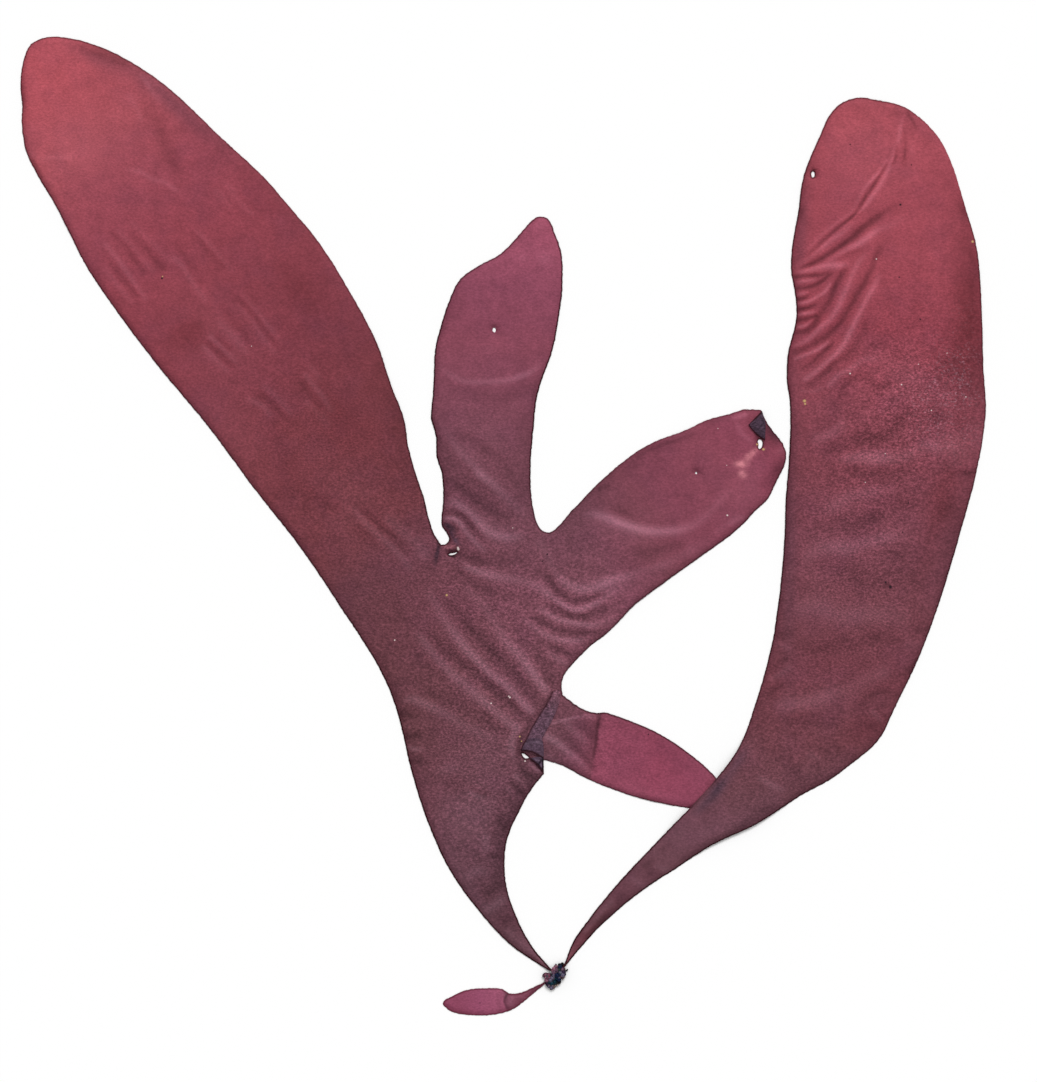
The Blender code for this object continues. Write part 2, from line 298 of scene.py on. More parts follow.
def wobbleMargin(bm, amount):
    # small natural unevenness of the margins, fading out towards the inside
    for vert, distance in zip(bm.verts, marginFacts(bm)[0]):
        if distance < 2 and vert.co.length > 2.5:
            slow = noise.noise_vector(vert.co / 2.3)
            quick = noise.noise_vector(vert.co / 0.45 + Vector((7, 3, 1)))
            vert.co.xy += (slow * amount[0] + quick * amount[1]).xy * (1 - distance / 2)


def patch(places, spots):
    # soft-edged oval patches: place, half length, half width, angle in degrees, strength
    total = np.zeros(len(places))
    for (x, y), length, width, angle, strength in spots:
        turn = math.radians(angle)
        offset = places - (x, y)
        u = (offset[:, 0] * math.cos(turn) + offset[:, 1] * math.sin(turn)) / length
        v = (offset[:, 1] * math.cos(turn) - offset[:, 0] * math.sin(turn)) / width
        total += strength * np.exp(-(u * u + v * v))
    return total


def foldsOver(places, folds):
    # how strongly the creases light (above 0) or darken (below 0) each place, and how far they raise it
    level = np.zeros(len(places))
    rise = np.zeros(len(places))
    for fold in folds:
        width = fold["width"]
        for line in fold["lines"]:
            line = smoothLine(line)
            near, distance, _, strength = nearLine(places, line, 2.6 * width)
            bulge = fold.get("strength", 1) * strength * np.exp(-((distance / width) ** 2))
            level[near] += bulge
            rise[near] += bulge * fold.get("rise", creaseRise) * min(width, 1.3)
    return level, rise


def shapeFields(bm, frond):
    # everything that varies over the blade, one value for each vertex
    places = placesOf(bm.verts)
    rim, facing = marginFacts(bm)
    fields = {"rim": rim, "line": 0.6}
    rise = frond["lift"] * (0.45 + 0.9 * noiseAt(places, frond["wave"], 3.1))
    rise += 0.3 * frond["lift"] * noiseAt(places, frond["wave"] / 3, 8.4)
    rise *= 0.05 + 0.95 * softStep(rim / 4)
    curled = np.clip(1.7 * noiseAt(places, 11, 5.5) - 0.2, 0, 1)
    rise += frond["curl"] * curled * (1 - softStep(rim / 2.2))
    for (x, y), reach in frond["pressed"]:
        rise *= softStep((np.hypot(places[:, 0] - x, places[:, 1] - y) - reach) / (0.8 * reach + 0.5))
    level, bulge = foldsOver(places, frond["folds"])
    fields["shade"] = level
    rise += bulge
    for name, spots in frond["patches"].items():
        fields[name] = fields.get(name, 0) + patch(places, spots)
    fields["shade"] = fields["shade"] - fields.pop("edge", 0) * np.exp(-((rim / edgeWidth) ** 2))
    for speck in frond["specks"]:
        mark = np.zeros(len(places))
        for (x, y), size in speck["spots"]:
            mark = np.maximum(mark, softStep(1.6 - np.hypot(places[:, 0] - x, places[:, 1] - y) / size))
        fields[speck["name"]] = mark
        rise += speck["rise"] * mark
    crossing = frond.get("crossing")
    if crossing:
        away = np.hypot(places[:, 0] - crossing["over"][0], places[:, 1] - crossing["over"][1])
        rise += crossing["lift"] * (1 - softStep((away - crossing["flat"]) / crossing["ramp"]))
    toStalk = np.hypot(places[:, 0], places[:, 1])
    rise += frond["stalkRise"] * (1 - softStep((toStalk - 1) / 4))
    lower = 0.5 * (rise + np.sqrt(rise * rise + 0.004))  # never below the floor
    fields["lower"] = lower
    fields["upper"] = lower + frond["thickness"] * (0.2 + 0.8 * softStep(rim / 0.9))
    # margins that face the light are paler, those turned from it have a dusky border
    # painted shade: margins turned from the light get a dusky painted border, those that face it stay paler
    dusk = np.clip(0.55 - 0.5 * (facing @ np.array(lightSide)), 0, 1)
    fields["border"] = dusk * np.exp(-((rim / borderShadeWidth) ** 2)) * (0.8 + 0.4 * noiseAt(places, 5, 1.3))
    numbers = np.zeros(len(places))
    for face in bm.faces:
        for vert in face.verts:
            numbers[vert.index] = max(numbers[vert.index], face.material_index)
    for number, (name, start, end) in enumerate(frond.get("forks", []), 1):
        along = Vector(end) - Vector(start)
        into = Vector((-along.y, along.x)).normalized()
        depth = (places - start) @ np.array(into)
        fields[name] = np.where(numbers == number, softStep(depth / 10), 0)
    return fields


def writeFields(bm, fields):
    for name in fieldNames:
        layer = bm.verts.layers.float.get(name) or bm.verts.layers.float.new(name)
        values = fields.get(name, 0) + np.zeros(len(bm.verts))
        for vert, value in zip(bm.verts, values):
            vert[layer] = value


def closeShell(bm, roundness):
    # gives the sheet its underside and a rounded edge all round
    bm.normal_update()
    if sum(face.normal.z for face in bm.faces) < 0:
        bmesh.ops.reverse_faces(bm, faces=bm.faces)
    upper = bm.verts.layers.float["upper"]
    lower = bm.verts.layers.float["lower"]
    # built face by face, in a fixed order, so that every run gives the same mesh
    sheet = bm.faces[:]
    margin = [edge.link_loops[0] for edge in bm.edges if edge.is_boundary]
    below = {}
    for vert in bm.verts[:]:
        below[vert] = bm.verts.new((vert.co.x, vert.co.y, vert[lower]), vert)
        vert.co.z = vert[upper]
    for face in sheet:
        bm.faces.new([below[vert] for vert in face.verts][::-1])
    waist = {}
    for loop in margin:
        for vert in (loop.vert, loop.link_loop_next.vert):
            if vert not in waist:
                waist[vert] = bm.verts.new((vert.co + below[vert].co) / 2, vert)
    for loop in margin:
        a, b = loop.vert, loop.link_loop_next.vert
        bm.faces.new((b, a, waist[a], waist[b]))
        bm.faces.new((waist[b], waist[a], below[a], below[b]))
    bmesh.ops.recalc_face_normals(bm, faces=bm.faces)
    bm.normal_update()
    for vert in waist.values():
        out = sum((f.normal for f in vert.link_faces), Vector()).xy
        if out.length > 0:
            vert.co.xy += out.normalized() * roundness
    bm.verts.index_update()
    return [lowerVert.index for vert, lowerVert in below.items() if vert not in waist]


fieldNames = [
    "upper", "lower", "rim", "line", "border", "shade", "brown", "rosy", "bloom", "grain", "slate",
    "white", "dark", "ochre", "leftShare", "middleShare", "rightShare", "sideShare",
]


def makeFlap(flap, under):
    # a small loose layer that lies over the blade: its own closed shell,
    # hinged on one side and free on the other
    bm = bmesh.new()
    bm.faces.new([bm.verts.new((x, y, 0)) for x, y in flap["outline"]])
    bmesh.ops.triangulate(bm, faces=bm.faces)
    for _ in range(8):
        long = [e for e in bm.edges if e.calc_length() > 0.2]
        if not long:
            break
        bmesh.ops.subdivide_edges(bm, edges=long, cuts=1)
        bmesh.ops.triangulate(bm, faces=[f for f in bm.faces if len(f.verts) > 3])
    places = placesOf(bm.verts)
    rim = nearLine(places, smoothLine(flap["free"]), 50)[1]
    away = nearLine(places, smoothLine(flap["hinge"]), 50)[1]
    lower = np.array([under(v.co.xy) for v in bm.verts]) - 0.2 * flap["thickness"]
    lower += flap["lift"] * softStep(away / flap["ramp"]) + flap["crumple"] * noiseAt(places, 1.1, 4.7)
    level, bulge = foldsOver(places, flap["folds"])
    faded = np.exp(-(((places - flap.get("fades", (0, 0))) ** 2).sum(1)) / 6) * 0.6
    fields = {"rim": rim, "line": flap["line"], "slate": flap["slate"] * (1 - faded), "grain": flap["grain"]}
    # painted shade along the flap's free edge
    fields["border"] = 0.6 * np.exp(-((rim / 0.3) ** 2))
    fields["shade"] = flap["shade"] + level
    fields["lower"] = lower + bulge
    fields["upper"] = fields["lower"] + flap["thickness"] * (0.6 + 0.4 * softStep(rim / 0.5))
    writeFields(bm, fields)
    closeShell(bm, 0.03)
    return bm


def finishMesh(name, bm, material, body, nodes, lowerSide=()):
    bmesh.ops.scale(bm, verts=bm.verts, vec=(mm, mm, mm))
    bmesh.ops.translate(bm, verts=bm.verts, vec=middle)
    for face in bm.faces:
        face.smooth = True
        face.material_index = 0
    mesh = bpy.data.meshes.new(name)
    bm.to_mesh(mesh)
    bm.free()
    mesh.materials.append(material)
    piece = bpy.data.objects.new(name, mesh)
    bpy.context.scene.collection.objects.link(piece)
    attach(piece, body)
    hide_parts(*nodes)
    triangles = sum(len(p.vertices) - 2 for p in mesh.polygons)
    if triangles > mostTriangles:
        # the underside, which is smooth, needs far fewer faces
        underside = piece.vertex_groups.new(name="underside")
        underside.add(lowerSide, 1.0, "REPLACE")
        thin = piece.modifiers.new("coarse underside", "DECIMATE")
        thin.ratio = mostTriangles / triangles
        thin.vertex_group = underside.name
        thin.use_collapse_triangulate = True
        thinned = piece.evaluated_get(bpy.context.evaluated_depsgraph_get())
        piece.data = bpy.data.meshes.new_from_object(thinned)
        piece.modifiers.clear()
        piece.vertex_groups.clear()
        bpy.data.meshes.remove(mesh)
        mesh = piece.data
        mesh.name = name
        triangles = sum(len(p.vertices) - 2 for p in mesh.polygons)
    print(name, "made:", triangles, "triangles")
    return piece


def buildFrond(name, frond, material):
    bm = flatSheet(frond["nodes"])
    for _, start, end in frond.get("forks", []):
        closeSeam(bm, start, end)
    reachIn(bm, frond["stalkEnd"], frond["stalkGrows"])
    refine(bm, frond)
    drawInMargin(bm)
    for hole in frond["holes"]:
        cutHole(bm, hole)
    wobbleMargin(bm, frond["wobble"])
    bm.verts.index_update()
    fields = shapeFields(bm, frond)
    writeFields(bm, fields)
    tree = kdtree.KDTree(len(bm.verts))
    for vert in bm.verts:
        tree.insert(vert.co, vert.index)
    tree.balance()

    def bladeTop(place):
        return fields["upper"][tree.find(place.to_3d())[1]]

    flaps = [makeFlap(flap, bladeTop) for flap in frond.get("flaps", [])]
    lowerSide = closeShell(bm, roundness)
    for extra in flaps:
        sheet = bpy.data.meshes.new("flap")
        extra.to_mesh(sheet)
        extra.free()
        bm.from_mesh(sheet)
        bpy.data.meshes.remove(sheet)
    return finishMesh(name, bm, material, "root", frond["nodes"], lowerSide)


# ---- finishes ----


def paint(colour):
    # a colour as it looks on screen, 0 to 255, for a shader
    return [((c / 255 + 0.055) / 1.055) ** 2.4 for c in colour] + [1]


def fill(tree, socket, value):
    if isinstance(value, bpy.types.NodeSocket):
        tree.links.new(value, socket)
    else:
        socket.default_value = value


def calc(tree, operation, *values, clamp=False):
    node = tree.nodes.new("ShaderNodeMath")
    node.operation = operation
    node.use_clamp = clamp
    for socket, value in zip(node.inputs, values):
        fill(tree, socket, value)
    return node.outputs[0]


def stretch(tree, value, low, high, newLow=0.0, newHigh=1.0, kind="LINEAR"):
    node = tree.nodes.new("ShaderNodeMapRange")
    node.interpolation_type = kind
    for socket, number in zip(node.inputs, (value, low, high, newLow, newHigh)):
        fill(tree, socket, number)
    return node.outputs[0]


def mixPaint(tree, share, under, over):
    node = tree.nodes.new("ShaderNodeMix")
    node.data_type = "RGBA"
    fill(tree, node.inputs[0], share)
    fill(tree, node.inputs[6], under)
    fill(tree, node.inputs[7], over)
    return node.outputs[2]


def scalePaint(tree, colour, amount):
    node = tree.nodes.new("ShaderNodeVectorMath")
    node.operation = "SCALE"
    fill(tree, node.inputs[0], colour)
    fill(tree, node.inputs["Scale"], amount)
    return node.outputs[0]


def field(tree, name):
    node = tree.nodes.new("ShaderNodeAttribute")
    node.attribute_name = name
    return node.outputs["Fac"]


def mottle(tree, size, detail=2.0, rough=0.5, shift=0.0, squeeze=(1, 1, 1)):
    # noise with features about this many millimetres across
    place = tree.nodes.new("ShaderNodeTexCoord").outputs["Object"]
    move = tree.nodes.new("ShaderNodeMapping")
    move.inputs["Location"].default_value = (shift, 2 * shift, 0)
    move.inputs["Scale"].default_value = squeeze
    tree.links.new(place, move.inputs["Vector"])
    node = tree.nodes.new("ShaderNodeTexNoise")
    tree.links.new(move.outputs[0], node.inputs["Vector"])
    node.inputs["Scale"].default_value = 1 / (size * mm)
    node.inputs["Detail"].default_value = detail
    node.inputs["Roughness"].default_value = rough
    return node.outputs["Fac"]


def ramp(tree, share, stops):
    node = tree.nodes.new("ShaderNodeValToRGB")
    elements = node.color_ramp.elements
    while len(elements) > 1:
        elements.remove(elements[-1])
    for number, (place, colour) in enumerate(stops):
        stop = elements[0] if number == 0 else elements.new(place)
        stop.position = place
        stop.color = paint(colour)
    fill(tree, node.inputs[0], share)
    return node.outputs["Color"]


def coloursAlong(tree, run, wander):
    # the colours met on a straight walk from one place to another
    start, end = Vector(run["from"]), Vector(run["to"])
    way = (end - start).normalized()
    low = (start * mm + middle.xy).dot(way)
    dot = tree.nodes.new("ShaderNodeVectorMath")
    dot.operation = "DOT_PRODUCT"
    tree.links.new(tree.nodes.new("ShaderNodeTexCoord").outputs["Object"], dot.inputs[0])
    dot.inputs[1].default_value = (way.x, way.y, 0)
    share = stretch(tree, dot.outputs["Value"], low, low + (end - start).length * mm)
    return ramp(tree, calc(tree, "ADD", share, wander), run["stops"])


def bladeMaterial(name, look):
    material = bpy.data.materials.new(name)
    material.use_nodes = True
    tree = material.node_tree
    shader = tree.nodes["Principled BSDF"]
    wander = stretch(tree, mottle(tree, 9, 2), 0.2, 0.8, -look["wander"], look["wander"])
    colour = coloursAlong(tree, look["main"], wander)
    for share, run in look["parts"]:
        amount = field(tree, share) if isinstance(share, str) else coloursAlong(tree, share, wander)
        colour = mixPaint(tree, amount, colour, coloursAlong(tree, run, wander))
    # cloudy patches, a little bluer than the rest
    clouds = stretch(tree, mottle(tree, 6, 3, 0.6, 0.03), 0.45, 0.75, 0, look["cloud"])
    colour = mixPaint(tree, clouds, colour, paint(look["cloudColour"]))
    # brown and rosy tints, and slate, which is partly the flaps' own colour and partly painted shade
    for name in ("brown", "rosy", "slate"):
        amount = calc(tree, "MINIMUM", field(tree, name), 1)
        colour = mixPaint(tree, amount, colour, paint(look[name + "Colour"]))
    # pale granular bloom in grains and small rings
    grains = stretch(tree, mottle(tree, 0.42, 2, 0.7, 0.01), 0.53, 0.66)
    clumps = stretch(tree, mottle(tree, 3.2, 2, 0.6, 0.02), 0.4, 0.62, 0.1, 1)
    bloom = calc(tree, "MULTIPLY", calc(tree, "MULTIPLY", grains, clumps), field(tree, "bloom"), clamp=True)
    colour = mixPaint(tree, bloom, colour, paint(look["bloomColour"]))
    # light and shade of the relief, with fine grain and broad unevenness
    fineGrain = stretch(tree, mottle(tree, 0.3, 2, 0.75, 0, (0.7, 1, 1)), 0.3, 0.7, -1, 1)
    broad = stretch(tree, mottle(tree, 2.6, 3, 0.6, 0.05), 0.3, 0.7, -1, 1)
    grainAmount = calc(tree, "MULTIPLY_ADD", field(tree, "grain"), look["grain"], look["leastGrain"])
    # painted light on the ridges, toned down here and partly given back as a pale painted sheen
    ridgeHighlight = calc(tree, "MAXIMUM", field(tree, "shade"), 0)
    level = calc(tree, "MULTIPLY_ADD", ridgeHighlight, look["ridgeHighlightTrim"], field(tree, "shade"))
    level = calc(tree, "MULTIPLY_ADD", fineGrain, grainAmount, level)
    level = calc(tree, "MULTIPLY_ADD", broad, look["unevenness"], level)
    colour = scalePaint(tree, colour, calc(tree, "POWER", look["shadeStrength"], level))
    # painted highlight: raised ridges get a pale painted sheen mixed into the base colour
    paintedSheen = calc(tree, "MULTIPLY", ridgeHighlight, look["paintedSheen"], clamp=True)
    colour = mixPaint(tree, paintedSheen, colour, paint(look["paintedSheenColour"]))
    # margins: painted shade as a dusky border on the sides turned from the light, and a thin dark crimson
    # line
    dusk = calc(tree, "MULTIPLY", field(tree, "border"), look["borderShadeStrength"], clamp=True)
    colour = mixPaint(tree, dusk, colour, paint(look["borderShadeColour"]))
    line = stretch(tree, field(tree, "rim"), 0.16, 0.28, 1, 0, "SMOOTHSTEP")
    line = calc(tree, "MULTIPLY", line, field(tree, "line"), clamp=True)
    colour = mixPaint(tree, line, colour, paint(look["lineColour"]))
    for name in ("dark", "ochre", "white"):
        colour = mixPaint(tree, field(tree, name), colour, paint(look[name + "Colour"]))
    tree.links.new(colour, shader.inputs["Base Color"])
    even, spread = look["roughness"], 0.07
    rough = stretch(tree, mottle(tree, 1.4, 3, 0.6), 0.3, 0.7, even - spread, even + spread)
    tree.links.new(rough, shader.inputs["Roughness"])
    shader.inputs["Specular IOR Level"].default_value = look["gloss"]
    bump = tree.nodes.new("ShaderNodeBump")
    bump.inputs["Strength"].default_value = 0.5
    bump.inputs["Distance"].default_value = 0.03 * mm
    leather = calc(tree, "MULTIPLY_ADD", mottle(tree, 0.9, 3, 0.6), 1.5, fineGrain)
    tree.links.new(leather, bump.inputs["Height"])
    tree.links.new(bump.outputs[0], shader.inputs["Normal"])
    return material


bladeLook = {
    "wander": 0.02, "cloud": 0.2, "cloudColour": (100, 55, 76), "brownColour": (96, 36, 40),
    "rosyColour": (214, 134, 144), "slateColour": (78, 60, 76), "bloomColour": (156, 108, 120),
    "borderShadeColour": (60, 22, 34), "borderShadeStrength": 0.5, "lineColour": (44, 8, 14),
    "whiteColour": (232, 214, 210), "darkColour": (40, 26, 34), "ochreColour": (196, 160, 110),
    "shadeStrength": 1.6, "ridgeHighlightTrim": -0.35, "paintedSheen": 0.045, "paintedSheenColour": (225, 205, 225),
    "grain": 1.0, "leastGrain": 0.42, "unevenness": 0.2, "roughness": 0.58, "gloss": 0.06,
}


# ---- the forked frond: a base with four lobes, one blade again ----

forkedLook = {
    **bladeLook,
    "main": {"from": (-16, 0), "to": (-16, 80), "stops": [
        (0.0, (100, 64, 72)), (0.12, (90, 55, 64)), (0.25, (99, 62, 72)), (0.4, (106, 63, 73)),
        (0.55, (101, 60, 66)), (0.7, (104, 60, 68)), (0.85, (104, 59, 68)), (1.0, (108, 59, 71)),
    ]},
    "parts": [
        ({"from": (-26, 40), "to": (-4, 42), "stops": [(0.0, (0, 0, 0)), (1.0, (255, 255, 255))]},
         {"from": (-8, 0), "to": (-8, 80), "stops": [
             (0.0, (104, 66, 75)), (0.12, (91, 57, 66)), (0.27, (95, 61, 72)), (0.42, (104, 66, 77)),
             (0.6, (114, 69, 80)), (0.8, (121, 72, 85)), (1.0, (110, 66, 78)),
         ]}),
        ("leftShare", {"from": (-28, 68), "to": (-90, 155), "stops": [
            (0.0, (107, 58, 65)), (0.28, (121, 58, 66)), (0.4, (128, 60, 71)), (0.52, (137, 63, 74)),
            (0.64, (145, 66, 78)), (0.75, (151, 71, 84)), (0.86, (166, 79, 89)), (0.97, (178, 82, 92)),
        ]}),
        ("middleShare", {"from": (-11, 72), "to": (-3, 130), "stops": [
            (0.0, (121, 75, 88)), (0.17, (109, 64, 76)), (0.32, (117, 68, 81)), (0.47, (129, 71, 87)),
            (0.62, (137, 71, 88)), (0.78, (140, 72, 92)), (0.88, (152, 78, 99)), (0.98, (158, 79, 100)),
        ]}),
        ("rightShare", {"from": (3, 66), "to": (38, 91), "stops": [
            (0.0, (131, 78, 93)), (0.2, (122, 69, 84)), (0.35, (124, 69, 82)), (0.55, (130, 67, 83)),
            (0.75, (137, 70, 86)), (0.9, (138, 68, 86)), (1.0, (136, 66, 82)),
        ]}),
        ("sideShare", {"from": (1.3, 43.6), "to": (29.5, 39), "stops": [
            (0.0, (125, 69, 89)), (0.205, (128, 68, 84)), (0.22, (143, 72, 92)), (0.6, (142, 67, 88)),
            (0.85, (141, 69, 90)), (1.0, (130, 64, 81)),
        ]}),
    ],
}
